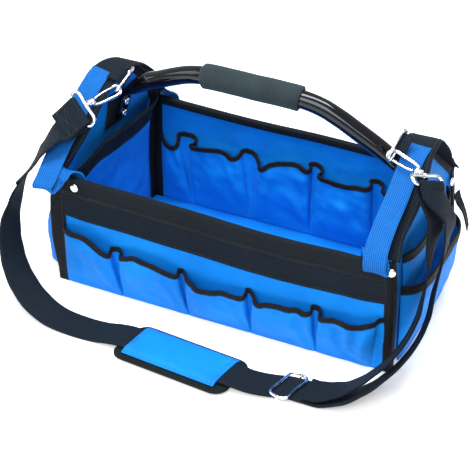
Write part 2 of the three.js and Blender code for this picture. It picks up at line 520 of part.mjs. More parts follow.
// ring outline: [along the bar, away from the bar]
const RING = [[-16.5, 0], [0, 0], [16.5, 0], [18.5, 3.5], [16, 8], [8, 10.3], [0, 10.6], [-8, 10.3], [-16, 8], [-18.5, 3.5]];
// hook outline: [along, across]; the gate closes the open side
const HOOK = [[-1, -1], [3, -3.8], [9, -5.4], [22, -5.8], [33, -5.9], [38.6, -4.6], [41.3, 0], [39.6, 4.1], [36, 5.2], [33, 5]];
const bars = {};
for (const h of HOOKS) {
  const E = V(...h.eye), back = V(...h.back).normalize();
  const n = VIEW.clone().addScaledVector(back, -VIEW.dot(back)).normalize();
  const bow = V(...h.bow); bow.addScaledVector(n, -bow.dot(n)).normalize();
  const S = E.clone().addScaledVector(back, HOOK_EYE), N0 = S.clone().addScaledVector(back, HOOK_NECK);
  // ring: its front leg passes through the hook's eye
  const C = E.clone().addScaledVector(n, -5.5).addScaledVector(bow, 17.2);
  put('d_ring_' + h.end, flatRod(C, bow, n, RING, 1.7, 6, 22, true), mat(STEEL, 0.2, 1));
  // tab around the ring's bar: [outwards, up] around the bar, the first rows lie on the arch band
  const u = V(h.side, 0, 0).addScaledVector(bow, -h.side * bow.x).normalize(), w = V(0, 0, 0).crossVectors(bow, u).normalize();
  if (w.z < 0) w.negate();
  const tabRows = h.side < 0 ? [[13, 11.6], [7, 11], [1.2, 8.8], [-2.6, 3], [-2.6, -1.8], [0.2, -3.2], [2.6, -1.6]]
    : [[13, 5.7], [7, 5.7], [1.8, 5], [-2.2, 2.5], [-2.9, -1.4], [-0.9, -3.1], [0.5, -3.2]];
  put('ring_tab_' + h.end, ribbon(tabRows.map(([a, b]) => { const p = C.clone().addScaledVector(u, a).addScaledVector(w, b); return { at: p.toArray(), across: bow.toArray(), w: 18 }; }), 16, 1.2).geometry, mat(BLACK, 0.85));
  // hook: shank, nose and tip in one flat outline, with a collar
  const along = back.clone().negate(), across = V(0, 0, 0).crossVectors(n, along).normalize();
  const shank = flatRod(S, along, across, HOOK, ROD_R, 8, 26, false);
  put('hook_' + h.end, join(shank, peg(S.clone().addScaledVector(along, -4), S.clone().addScaledVector(along, 3), 4.2)), mat(STEEL, 0.2, 1));
  // gate: hinged by the collar, its free end inside the tip
  const gate = [[6.6, 2.4], [14, 3.8], [24, 4.5], [32.2, 4.7]];
  put('gate_' + h.end, flatRod(S, along, across, gate, 1.25, 7, 6, false), mat(STEEL, 0.2, 1));
  // strap loop: bent rectangle with a neck up to the collar
  const long = V(...h.long).normalize(), s = V(...h.strap); s.addScaledVector(long, -s.dot(long)).normalize();
  const a = LOOP_IN / 2 + ROD_R, d = LOOP_DEEP, q = 3;
  const rect = [[-a + q, 0], [0, 0], [a - q, 0], [a, q], [a, d - q], [a - q, d], [0, d], [-a + q, d], [-a, d - q], [-a, q]];
  const frame = flatRod(N0, long, s, rect, ROD_R, 6, 32, true);
  put('loop_' + h.end, join(frame, peg(N0, S.clone().addScaledVector(along, -4.4), 2.6, 8)), mat(STEEL, 0.2, 1));
  bars[h.end] = { F: N0.clone().addScaledVector(s, d), long, s, S, along, across, n };
}

// ---- shoulder strap --------------------------------------------------------------------
const wrapR = ROD_R + GAP + 0.15 + STRAP_T / 2;
// rows of webbing around a loop's bar, from the side k1 of the bar to the other
function aroundBar(bar, way, k1) {
  const m = V(0, 0, 0).crossVectors(bar.long, way).normalize().multiplyScalar(k1);
  const at = (a, b) => bar.F.clone().addScaledVector(m, a * wrapR).addScaledVector(way, b).toArray();
  return [at(1, 7), at(1, 1.5), at(0.72, -wrapR * 0.72), at(0, -wrapR * 1.02), at(-0.72, -wrapR * 0.72), at(-1, 1.5), at(-1, 7)];
}
const row = (at, across, w = STRAP_W) => ({ at, across, w });
{
  const bar = bars.left, way = V(-0.52, -0.46, -0.72).normalize();
  way.addScaledVector(bar.long, -way.dot(bar.long)).normalize();
  const L = bar.long.toArray(), wrap = aroundBar(bar, way, -1);
  const m = V(0, 0, 0).crossVectors(bar.long, way).normalize();
  const end = (a, b) => bar.F.clone().addScaledVector(m, a).addScaledVector(way, b).toArray();
  const rows = [row(end(-2.6, 30), L), row(end(-2.8, 18), L), ...wrap.map((p) => row(p, L)), row(end(0.2, 22), L),
    row([-213.6, -91.6, 186.8], [0.69, -0.72, 0.06]), row([-232.8, -101.6, 160.2], [0.575, -0.767, 0.283]), row([-247, -103.5, 136.9], [0.465, -0.77, 0.436]), row([-260, -101, 118], [0.386, -0.758, 0.526]), row([-265, -114, 90], [0.15, -0.85, 0.5]),
    row([-260, -134, 66], [-0.1, -0.88, 0.46]), row([-250, -148, 50], [-0.2, -0.89, 0.4]), row([-236, -162, 36], [-0.3, -0.9, 0.32]),
    row([-218, -173, 22], [-0.38, -0.9, 0.2]), row([-196, -182, 11], [-0.38, -0.92, 0.08]), row([-170, -188, 3.6], [-0.25, -0.97, 0.02]), row([-140, -190, 1.2], [-0.1, -1, 0]),
    row([-110, -189.5, 1.5], [0, -1, 0]), row([-90, -189.8, 5.4], [0.05, -1, 0]), row([-72, -191, 8], [0.09, -1, 0]), row([-40, -193.6, 8], [0.09, -1, 0]), row([-0.4, -197.1, 8], [0.09, -1, 0])];
  put('strap_left', ribbon(rows, (rows.length - 1) * 3, STRAP_T, false).geometry, mat(BLACK, 0.85));
}
{
  const bar = bars.right, way = V(0.42, -0.1, -0.9).normalize();
  way.addScaledVector(bar.long, -way.dot(bar.long)).normalize();
  const L = bar.long.toArray(), wrap = aroundBar(bar, way, -1);
  const rows = [row([0.4, -197.2, 8], [-0.09, 1, 0]), row([40, -200.7, 8], [-0.09, 1, 0]), row([70, -202.8, 8], [-0.05, 1, 0]), row([88, -201, 5.4], [-0.1, 1, 0]),
    row([106, -196, 3.7], [-0.15, 1, 0]), row([127, -190, 3.7], [-0.1, 1, 0]), row([146, -188, 2.8], [-0.1, 1, 0]), row([164, -187, 1.6], [-0.25, 0.97, -0.03]), row([184, -183, 5], [-0.42, 0.88, -0.2]),
    row([203, -170, 10.5], [-0.45, 0.82, -0.42]), row([219, -151, 20], [-0.42, 0.77, -0.5]), row([232, -128, 33], [-0.4, 0.76, -0.52]),
    row([241, -108, 51], [-0.386, 0.758, -0.526]), row([245, -92, 72], [-0.386, 0.758, -0.526]), row([246, -82, 99], [-0.36, 0.77, -0.52]),
    row([247.5, -68.7, 124.4], [-0.3, 0.8, -0.5]), row([248, -57.4, 148.8], [-0.2, 0.85, -0.48]), row([247, -51, 173], [0, 0.87, -0.45]),
    ...wrap.map((p) => row(p, L)), row([237, -65, 172], [0.1, 0.87, -0.45]), row([236, -73.4, 148.8], [-0.1, 0.87, -0.47]), row([238.5, -81.7, 124.4], [-0.25, 0.82, -0.5]),
    row([238, -91, 100], [-0.33, 0.79, -0.5]), row([236, -99, 76], [-0.38, 0.76, -0.52]), row([231, -112, 56], [-0.39, 0.76, -0.52]), row([222, -130, 38], [-0.4, 0.76, -0.52]),
    row([209, -151, 25], [-0.42, 0.77, -0.5]), row([194, -168, 16], [-0.45, 0.82, -0.42]), row([177, -179.5, 9.6], [-0.4, 0.88, -0.2]), row([160, -184.5, 5.3], [-0.25, 0.97, -0.03]), row([147, -186, 5.6], [-0.1, 1, 0])];
  put('strap_right', ribbon(rows, (rows.length - 1) * 3, STRAP_T, false).geometry, mat(BLACK, 0.85));
}
{
  // tri-glide: frame above the webbing, middle bar below it
  const C = V(127, -190, 6.55), U = V(0.18, 0.98, 0).normalize(), W = V(U.y, -U.x, 0), a = STRAP_W / 2 + 4.2, b = 13, q = 3;
  const rect = [[-a + q, -b], [0, -b], [a - q, -b], [a, -b + q], [a, b - q], [a - q, b], [0, b], [-a + q, b], [-a, b - q], [-a, -b + q]];
  const frame = flatRod(C, U, W, rect, 1.6, 6, 28, true), low = C.clone(); low.z = 1.25;
  const e1 = C.clone().addScaledVector(U, a), e2 = C.clone().addScaledVector(U, -a);
  const f1 = low.clone().addScaledVector(U, a + 0.9), f2 = low.clone().addScaledVector(U, -a - 0.9);
  const d1 = e1.clone().setZ(0.3), d2 = e2.clone().setZ(0.3);
  put('slider', join(frame, peg(d1, e1, 1.3, 8), peg(d2, e2, 1.3, 8), peg(f1, f2, 1.1, 8)), mat(STEEL, 0.2, 1));
}
{
  // shoulder pad: rounded slab, and the cloth patch that holds the strap on it
  const ang = -0.09, ca = Math.cos(ang), sa = Math.sin(ang), cx = -2, cy = -197.3;
  const at = (u, v, z) => V(cx + u * ca - v * sa, cy + u * sa + v * ca, z);
  const outline = (inset, z) => {
    const pts = [], r = 14;
    for (const [sx, sy, a0] of [[1, 1, 0], [-1, 1, 1], [-1, -1, 2], [1, -1, 3]]) {
      for (let k = 0; k <= 4; k++) {
        const g = (a0 + k / 4) * Math.PI / 2;
        pts.push(at(sx * (PAD_L / 2 - r) + (r - inset) * Math.cos(g), sy * (PAD_W / 2 - r) + (r - inset) * Math.sin(g), z));
      }
    }
    return pts;
  };
  put('pad', loft([outline(1.6, 0), outline(0, 1.8), outline(0, PAD_T - 2.2), outline(2.5, PAD_T)]), mat(PAD, 0.95));
  const us = [-60, -30, 0, 30, 60], vs = [[-27.5, 7.7], [-23.5, 8.6], [-20.5, 10.3], [0, 10.6], [20.5, 10.3], [23.5, 8.6], [27.5, 7.7]];
  put('pad_patch', slab(us.map((u) => vs.map(([v, z]) => at(u, v, z))), 1.4), mat(BLUE, 0.7));
}

export default tote;
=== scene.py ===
import bpy
import math
import numpy as np
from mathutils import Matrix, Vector


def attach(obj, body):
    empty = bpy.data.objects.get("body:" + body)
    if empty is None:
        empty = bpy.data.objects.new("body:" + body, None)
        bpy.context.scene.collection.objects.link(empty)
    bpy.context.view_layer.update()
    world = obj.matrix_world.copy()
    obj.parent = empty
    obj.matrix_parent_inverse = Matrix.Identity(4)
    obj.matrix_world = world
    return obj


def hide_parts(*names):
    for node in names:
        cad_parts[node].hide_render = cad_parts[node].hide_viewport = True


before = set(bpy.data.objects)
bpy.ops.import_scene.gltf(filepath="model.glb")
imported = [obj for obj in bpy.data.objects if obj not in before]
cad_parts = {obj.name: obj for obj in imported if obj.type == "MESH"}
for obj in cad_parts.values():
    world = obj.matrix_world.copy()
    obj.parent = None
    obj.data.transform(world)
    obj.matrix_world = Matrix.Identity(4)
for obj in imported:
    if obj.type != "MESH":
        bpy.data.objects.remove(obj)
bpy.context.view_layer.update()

# All shape code below works in millimetres, +Z up, front towards -Y.
LEN, DEP, RIM, WALL, CORNER_R, GAP = 420.0, 220.0, 140.0, 3.0, 5.0, 0.3
BAND_H, BAND_T, SIDE_WEB_W = 50.0, 1.6, 26.0
POCKET_TOP, POCKET_BACK_TOP, POCKET_GAPE, SHEET_T = 62.0, 98.0, 15.0, 1.5
TUBE_R, GRIP_R, STRAP_W, STRAP_T = 10.5, 14.5, 40.0, 1.8
PAD_L, PAD_W, PAD_T = 146.0, 66.0, 6.5


# ---------------------------------------------------------------- small maths
def V(*a):
    return np.array(a, float)


def unit(v):
    v = np.asarray(v, float)
    return v / np.linalg.norm(v)


def smooth(a, b, t):
    s = np.clip((np.asarray(t, float) - a) / (b - a), 0, 1)
    return s * s * (3 - 2 * s)


def mix(a, b, t):
    return a + (b - a) * t


def table(rows, key):
    xs = np.array([r[0] for r in rows], float)
    ys = np.array([r[1] for r in rows], float)
    n = len(xs)
    sl = np.zeros(n)
    sl[1:-1] = (ys[2:] - ys[:-2]) / (xs[2:] - xs[:-2])
    k = np.clip(np.asarray(key, float), xs[0], xs[-1])
    i = np.clip(np.searchsorted(xs, k, side="right") - 1, 0, n - 2)
    h = xs[i + 1] - xs[i]
    t = (k - xs[i]) / h
    t2, t3 = t * t, t * t * t
    return ((2 * t3 - 3 * t2 + 1) * ys[i] + (t3 - 2 * t2 + t) * h * sl[i]
            + (-2 * t3 + 3 * t2) * ys[i + 1] + (t3 - t2) * h * sl[i + 1])


def ripple(a, b, seed, scale):
    """Smooth irregular field from -1 to 1 over two lengths in mm."""
    r = np.random.RandomState(seed)
    out = 0.0
    for k in range(7):
        ang = r.uniform(0, 2 * math.pi)
        f = r.uniform(0.6, 1.7) * 2 * math.pi / scale
        ph = r.uniform(0, 2 * math.pi)
        out = out + np.sin(f * (np.cos(ang) * a + np.sin(ang) * b) + ph + 0.8 * np.sin(0.6 * f * (np.sin(ang) * a - np.cos(ang) * b)))
    return out / 4.2


def crease(a, b, p, q, width):
    """1 on the segment p-q, fading out over width."""
    p, q = np.asarray(p, float), np.asarray(q, float)
    d = q - p
    L2 = d.dot(d)
    t = np.clip(((a - p[0]) * d[0] + (b - p[1]) * d[1]) / L2, 0, 1)
    x, y = a - p[0] - t * d[0], b - p[1] - t * d[1]
    return np.exp(-(x * x + y * y) / (width * width)) * np.sin(math.pi * np.clip(t * 0.9 + 0.05, 0, 1)) ** 0.5


# ---------------------------------------------------------------- form of the body
ARCH = [[0, 234], [20, 230.5], [32, 221], [45, 208], [60, 191], [76, 173], [90, 158.5], [102, 147], [110, 140]]
LEAN = [[0, 0], [90, 0], [140, 5], [175, 14], [200, 19], [240, 23]]
SAG = [[-210, 3], [-150, 1], [-60, -1], [20, 0], [90, -1], [150, -1], [210, 2]]
SAG_FRONT = [[-210, 2], [-172, 0], [-110, -0.6], [-71, -2], [-21, -3.2], [16, -5], [53, -6.2], [101, -6], [148, -4.2], [174, -4], [210, -1]]


def arch_top(y, side):
    return table(ARCH, np.abs(y)) + (0 if side < 0 else -9) * smooth(95, 20, np.abs(y))


def rim_long(x, sign):
    return RIM + table(SAG_FRONT if sign < 0 else SAG, x)


def end_x(side, y, z):
    y, z = np.asarray(y, float), np.asarray(z, float)
    x = side * (LEN / 2 - table(LEAN, z) * (1 if side < 0 else 0.75) - (5 if side < 0 else 16) * (y + DEP / 2) / DEP)
    if side < 0:
        x = x + 0.16 * y * smooth(140, 210, z) - 7 * smooth(0, 60, z) * smooth(170, 105, z) * smooth(10, -100, y)
    return x


def long_y(sign, x, z):
    x, z = np.asarray(x, float), np.asarray(z, float)
    b = 2.5 * np.sin(math.pi * np.clip(z / RIM, 0, 1)) * (1 - (x / 210) ** 2)
    return sign * (DEP / 2 + b + (2.5 * smooth(40, 140, z) if sign < 0 else 0))


def long_scale(sign, x):
    return ((205 if x < 0 else 194) if sign > 0 else 210) / 210


def wall_point(st, z, off):
    if st[0] == "long":
        _, sign, x = st
        return V(x, float(long_y(sign, x, z)) + sign * off, z)
    if st[0] == "end":
        _, side, y = st
        return V(float(end_x(side, y, z)) + side * off, y, z)
    _, side, sign, ang = st
    r = CORNER_R
    cx = float(end_x(side, sign * (DEP / 2 - r), z)) - side * r
    cy = float(long_y(sign, side * (LEN / 2 - r), z)) - sign * r
    return V(cx + side * (r + off) * math.cos(ang), cy + sign * (r + off) * math.sin(ang), z)


def rim_of(st):
    if st[0] == "long":
        return float(rim_long(st[2], st[1]))
    if st[0] == "end":
        return float(arch_top(st[2], st[1]))
    _, side, sign, ang = st
    y = DEP / 2 - CORNER_R + CORNER_R * math.sin(ang)
    return float(mix(arch_top(y, side), rim_long(side * (LEN / 2 - CORNER_R), sign), smooth(0.4, 1.5, ang)))


# ---------------------------------------------------------------- curves
class Curve:
    def __init__(self, pts, closed=False):
        self.p = np.array(pts, float)
        self.closed = closed

    def at(self, t):
        P, n = self.p, len(self.p)
        t = np.atleast_1d(np.asarray(t, float))
        s = t * (n if self.closed else n - 1)
        i = np.floor(s).astype(int)
        if not self.closed:
            i = np.clip(i, 0, n - 2)
        w = s - i
        out = np.zeros((len(t), P.shape[1]))
        for k in range(len(t)):
            a, u = i[k], w[k]
            if self.closed:
                p0, p1, p2, p3 = P[(a - 1) % n], P[a % n], P[(a + 1) % n], P[(a + 2) % n]
            else:
                p1, p2 = P[a], P[a + 1]
                p0 = P[a - 1] if a > 0 else 2 * p1 - p2
                p3 = P[a + 2] if a + 2 < n else 2 * p2 - p1
            d0, d1, d2 = [max(float(((x - y) ** 2).sum()) ** 0.25, 1e-4) for x, y in ((p0, p1), (p1, p2), (p2, p3))]
            t1 = ((p1 - p0) / d0 - (p2 - p0) / (d0 + d1) + (p2 - p1) / d1) * d1
            t2 = ((p2 - p1) / d1 - (p3 - p1) / (d1 + d2) + (p3 - p2) / d2) * d1
            out[k] = p1 + t1 * u + (-3 * p1 + 3 * p2 - 2 * t1 - t2) * u * u + (2 * p1 - 2 * p2 + t1 + t2) * u ** 3
        return out

    def tangent(self, t, e=1e-4):
        t = np.atleast_1d(np.asarray(t, float))
        if self.closed:
            d = self.at((t + e) % 1) - self.at((t - e) % 1)
        else:
            d = self.at(np.clip(t + e, 0, 1)) - self.at(np.clip(t - e, 0, 1))
        return d / np.linalg.norm(d, axis=1)[:, None]

    def even(self, n):
        """n + 1 parameters evenly spaced along the curve (n on a closed one)."""
        f = np.linspace(0, 1, 1201)
        q = self.at(f if not self.closed else f % 1)
        if self.closed:
            q[-1] = q[0]
        L = np.concatenate([[0], np.cumsum(np.linalg.norm(np.diff(q, axis=0), axis=1))])
        self.length = L[-1]
        u = np.linspace(0, L[-1], n + 1)
        t = np.interp(u, L, f)
        return t[:-1] if self.closed else t


# ---------------------------------------------------------------- meshes
def make(name, verts, faces, material, uv=None, shade=True):
    me = bpy.data.meshes.new(name)
    me.from_pydata([tuple(v * 0.001) for v in np.asarray(verts, float)], [], faces)
    me.validate()
    if uv is not None and len(uv) == len(me.loops):
        layer = me.uv_layers.new(name="cloth")
        layer.data.foreach_set("uv", np.asarray(uv, float).ravel())
    o = bpy.data.objects.new(name, me)
    bpy.context.scene.collection.objects.link(o)
    if shade:
        me.polygons.foreach_set("use_smooth", [True] * len(me.polygons))
    me.materials.append(material)
    me.update()
    return o


def fix_normals(verts, faces):
    """True if the closed mesh faces outwards."""
    v = np.asarray(verts, float)
    vol = 0.0
    for f in faces:
        for k in range(1, len(f) - 1):
            vol += v[f[0]].dot(np.cross(v[f[k]], v[f[k + 1]]))
    return vol > 0


def loops_mesh(secs, closed=False, u=None, vlen=None):
    """Quads between closed section loops, with flat caps; returns verts, faces and cloth uv in metres."""
    secs = np.asarray(secs, float)
    n, m = secs.shape[:2]
    verts = secs.reshape(-1, 3)
    if u is None:
        c = secs.mean(axis=1)
        u = np.concatenate([[0], np.cumsum(np.linalg.norm(np.diff(c, axis=0), axis=1))])
    if closed:
        u = np.append(u, u[-1] + np.linalg.norm(secs[0].mean(axis=0) - secs[-1].mean(axis=0)))
    mid = secs[n // 2]
    if vlen is None:
        vlen = np.concatenate([[0], np.cumsum(np.linalg.norm(np.diff(np.vstack([mid, mid[:1]]), axis=0), axis=1))])
    faces, uv = [], []
    for i in range(n if closed else n - 1):
        p, q = i * m, ((i + 1) % n) * m
        for j in range(m):
            k = (j + 1) % m
            faces.append((p + j, p + k, q + k, q + j))
            uv += [(u[i], vlen[j]), (u[i], vlen[j + 1]), (u[i + 1], vlen[j + 1]), (u[i + 1], vlen[j])]
    if not closed:
        for base, rev in ((0, True), ((n - 1) * m, False)):
            c = len(verts)
            verts = np.vstack([verts, secs[0 if rev else n - 1].mean(axis=0)])
            for j in range(m):
                k = (j + 1) % m
                faces.append((base + k, base + j, c) if rev else (base + j, base + k, c))
                uu = u[0] if rev else u[-1]
                uv += [(uu, vlen[j])] * 3
    if not fix_normals(verts, faces):
        out, o = [], []
        at = 0
        for f in faces:
            out.append(tuple(reversed(f)))
            o += list(reversed(uv[at:at + len(f)]))
            at += len(f)
        faces, uv = out, o
    return verts, faces, np.asarray(uv, float) * 0.001


def normals_of(G):
    du = np.gradient(G, axis=0)
    dv = np.gradient(G, axis=1)
    n = np.cross(du, dv)
    return n / np.maximum(np.linalg.norm(n, axis=2), 1e-9)[:, :, None]


def slab(G, thick, edge=0.8):
    """Closed cloth from its middle surface G[i][j], with rounded long edges."""
    G = np.asarray(G, float)
    N = normals_of(G)
    t = (thick if np.ndim(thick) else np.full(G.shape[:2], float(thick)))[:, :, None] / 2
    a, b = G + N * t, G - N * t
    e1 = unit_rows(G[:, 0] - G[:, 1]) * t[:, 0] * edge + G[:, 0]
    e2 = unit_rows(G[:, -1] - G[:, -2]) * t[:, -1] * edge + G[:, -1]
    secs = np.concatenate([e1[:, None], a, e2[:, None], b[:, ::-1]], axis=1)
    n, nj = G.shape[0], G.shape[1]
    c = G[:, nj // 2]
    u = np.concatenate([[0], np.cumsum(np.linalg.norm(np.diff(c, axis=0), axis=1))])
    r = G[n // 2]
    w = np.concatenate([[0], np.cumsum(np.linalg.norm(np.diff(r, axis=0), axis=1))])
    vlen = np.concatenate([[-0.6], w, [w[-1] + 0.6], w[::-1], [-0.6]])
    m = secs.shape[1]
    verts = secs.reshape(-1, 3)
    faces, uv = [], []
    for i in range(n - 1):
        p, q = i * m, (i + 1) * m
        for j in range(m):
            k = (j + 1) % m
            faces.append((p + j, p + k, q + k, q + j))
            uv += [(u[i], vlen[j]), (u[i], vlen[j + 1]), (u[i + 1], vlen[j + 1]), (u[i + 1], vlen[j])]
    # ends: strips between the two layers
    for base, rev, uu in ((0, True, u[0]), ((n - 1) * m, False, u[-1])):
        fs = [(base, base + 1, base + m - 1)]
        for j in range(1, nj):
            fs.append((base + j, base + j + 1, base + m - 1 - j, base + m - j))
        fs.append((base + nj, base + nj + 1, base + nj + 2))
        for f in fs:
            f = tuple(reversed(f)) if rev else f
            faces.append(f)
            uv += [(uu, vlen[(x - base)]) for x in f]
    if not fix_normals(verts, faces):
        out, o, at = [], [], 0
        for f in faces:
            out.append(tuple(reversed(f)))
            o += list(reversed(uv[at:at + len(f)]))
            at += len(f)
        faces, uv = out, o
    return verts, faces, np.asarray(uv, float) * 0.001


def unit_rows(a):
    return a / np.maximum(np.linalg.norm(a, axis=-1), 1e-9)[..., None]


def join_data(parts):
    verts, faces, uv, at = [], [], [], 0
    for v, f, u in parts:
        verts.append(np.asarray(v, float))
        faces += [tuple(x + at for x in g) for g in f]
        uv.append(np.asarray(u, float).reshape(-1, 2))
        at += len(v)
    return np.vstack(verts), faces, np.vstack(uv)


def rod_data(P, r, sides=14, closed=False, r2=None):
    """Round rod through dense points P; r may vary."""
    P = np.asarray(P, float)
    n = len(P)
    if closed:
        T = unit_rows(np.roll(P, -1, 0) - np.roll(P, 1, 0))
    else:
        T = unit_rows(np.gradient(P, axis=0))
    r = np.full(n, float(r)) if np.ndim(r) == 0 else np.asarray(r, float)
    r2 = r if r2 is None else (np.full(n, float(r2)) if np.ndim(r2) == 0 else np.asarray(r2, float))
    ref = V(0, 0, 1) if abs(T[0][2]) < 0.8 else V(1, 0, 0)
    A = unit(ref - T[0] * ref.dot(T[0]))
    secs = []
    for i in range(n):
        A = unit(A - T[i] * A.dot(T[i]))
        B = np.cross(T[i], A)
        g = (np.arange(sides) + 0.5) / sides * 2 * math.pi
        secs.append(P[i] + np.outer(np.cos(g) * r[i], A) + np.outer(np.sin(g) * r2[i], B))
    secs = np.array(secs)
    if closed:
        # undo the twist that has built up round the loop
        A0 = secs[0][0] - P[0]
        Bn = np.cross(T[0], unit(A0))
        a = unit(A - T[0] * A.dot(T[0]))
        g0 = 0.5 / sides * 2 * math.pi
        start = unit(ref - T[0] * ref.dot(T[0]))
        ang = math.atan2(np.cross(start, a).dot(T[0]), start.dot(a))
        A = start
        out = []
        for i in range(n):
            A = unit(A - T[i] * A.dot(T[i]))
            B = np.cross(T[i], A)
            g = (np.arange(sides) + 0.5) / sides * 2 * math.pi - ang * i / n
            out.append(P[i] + np.outer(np.cos(g) * r[i], A) + np.outer(np.sin(g) * r2[i], B))
        secs = np.array(out)
    return loops_mesh(secs, closed)


def ribbon_frames(rows, per=10):
    """rows: (centre, across, width). Dense centres, across, normals, half widths along a webbing."""
    c = Curve([r[0] for r in rows])
    n = len(rows) - 1
    t = np.linspace(0, 1, n * per + 1)
    P, T = c.at(t), c.tangent(t)
    W, H = [], []
    for k, tt in enumerate(t):
        s = tt * n
        a = min(int(math.floor(s + 1e-9)), n - 1)
        u = s - a
        w = mix(unit(rows[a][1]), unit(rows[a + 1][1]), float(smooth(0, 1, u)))
        w = unit(w - T[k] * w.dot(T[k]))
        W.append(w)
        H.append(mix(rows[a][2], rows[a + 1][2], u) / 2)
    W, H = np.array(W), np.array(H)
    N = np.cross(T, W)
    return P, W, N, H


def webbing_data(P, W, N, H, thick, curl=0.0, wave=0.0, seed=3, k=9):
    """Flat webbing with rounded edges; curl bows it across its width, wave makes it uneven along."""
    L = np.concatenate([[0], np.cumsum(np.linalg.norm(np.diff(P, axis=0), axis=1))])
    x = np.linspace(-1, 1, k)
    t = thick / 2
    G = []
    for i in range(len(P)):
        bow = curl * (x * x - 0.35) + wave * ripple(np.full(k, L[i]), x * 12, seed, 46.0)
        G.append(P[i] + np.outer(x * (H[i] - 0.35 * t), W[i]) + np.outer(bow, N[i]))
    return slab(np.array(G), thick, edge=0.75), L[-1]


def stitches(points, normals, pitch=3.4, length=2.3, r=0.28, sides=6, lift=0.1):
    """A row of sewn stitches along a line of points, lying on its normals."""
    P = np.asarray(points, float)
    N = unit_rows(np.asarray(normals, float))
    L = np.concatenate([[0], np.cumsum(np.linalg.norm(np.diff(P, axis=0), axis=1))])
    parts = []
    count = int(L[-1] // pitch)
    for k in range(count):
        s0 = (k + 0.5) * L[-1] / count - length / 2
        ss = s0 + np.array([0, 0.25, 0.5, 0.75, 1.0]) * length
        C = np.stack([np.interp(ss, L, P[:, a]) for a in range(3)], 1)
        M = unit_rows(np.stack([np.interp(ss, L, N[:, a]) for a in range(3)], 1))
        hump = np.array([-0.25, 0.16, 0.26, 0.16, -0.25]) + lift
        rr = np.array([0.5, 0.95, 1.0, 0.95, 0.5]) * r
        parts.append(rod_data(C + M * hump[:, None], rr, sides))
    return join_data(parts)


# ---------------------------------------------------------------- materials
def nodes_of(name):
    m = bpy.data.materials.new(name)
    m.use_nodes = True
    nt = m.node_tree
    return m, nt, nt.nodes, nt.links, nt.nodes["Principled BSDF"]


def math_node(nt, op, a, b=None, clamp=False):
    n = nt.nodes.new("ShaderNodeMath")
    n.operation = op
    n.use_clamp = clamp
    for i, v in enumerate((a, b)):
        if v is None:
            continue
        if isinstance(v, (int, float)):
            n.inputs[i].default_value = v
        else:
            nt.links.new(v, n.inputs[i])
    return n.outputs[0]


def ramp(nt, fac, stops):
    n = nt.nodes.new("ShaderNodeValToRGB")
    e = n.color_ramp.elements
    while len(e) < len(stops):
        e.new(0.5)
    for k, (p, c) in enumerate(stops):
        e[k].position = p
        e[k].color = (*c, 1)
    nt.links.new(fac, n.inputs[0])
    return n.outputs[0]


def noise(nt, scale, detail=3.0, rough=0.55, vec=None):
    n = nt.nodes.new("ShaderNodeTexNoise")
    n.inputs["Scale"].default_value = scale
    n.inputs["Detail"].default_value = detail
    n.inputs["Roughness"].default_value = rough
    nt.links.new(vec if vec is not None else object_coords(nt), n.inputs["Vector"])
    return n.outputs["Fac"]


def object_coords(nt):
    for n in nt.nodes:
        if n.bl_idname == "ShaderNodeTexCoord":
            return n.outputs["Object"]
    return nt.nodes.new("ShaderNodeTexCoord").outputs["Object"]


def cloth_uv(nt):
    n = nt.nodes.new("ShaderNodeUVMap")
    n.uv_map = "cloth"
    s = nt.nodes.new("ShaderNodeSeparateXYZ")
    nt.links.new(n.outputs[0], s.inputs[0])
    return s.outputs[0], s.outputs[1]


def wave1(nt, x, pitch_m, phase=0.0):
    """0 to 1 wave of a length in metres."""
    a = math_node(nt, "MULTIPLY", x, 2 * math.pi / pitch_m)
    if phase:
        a = math_node(nt, "ADD", a, phase)
    return math_node(nt, "ADD", math_node(nt, "MULTIPLY", math_node(nt, "SINE", a), 0.5), 0.5)


def bump(nt, height, dist, strength, target, below=None):
    b = nt.nodes.new("ShaderNodeBump")
    b.inputs["Distance"].default_value = dist
    b.inputs["Strength"].default_value = strength
    nt.links.new(height, b.inputs["Height"])
    if below is not None:
        nt.links.new(below, b.inputs["Normal"])
    if target is not None:
        nt.links.new(b.outputs[0], target.inputs["Normal"])
    return b.outputs[0]


def mix_color(nt, fac, a, b, mode="MIX"):
    n = nt.nodes.new("ShaderNodeMix")
    n.data_type = "RGBA"
    n.blend_type = mode
    if isinstance(fac, (int, float)):
        n.inputs[0].default_value = fac
    else:
        nt.links.new(fac, n.inputs[0])
    for s, v in ((n.inputs[6], a), (n.inputs[7], b)):
        if isinstance(v, tuple):
            s.default_value = (*v, 1)
        else:
            nt.links.new(v, s)
    return n.outputs[2]


def weave_height(nt, pitch_u, pitch_v):
    u, v = cloth_uv(nt)
    a = math_node(nt, "SINE", math_node(nt, "MULTIPLY", u, 2 * math.pi / pitch_u))
    b = math_node(nt, "SINE", math_node(nt, "MULTIPLY", v, 2 * math.pi / pitch_v))
    return math_node(nt, "ADD", math_node(nt, "MULTIPLY", math_node(nt, "MULTIPLY", a, b), 0.5), 0.5)


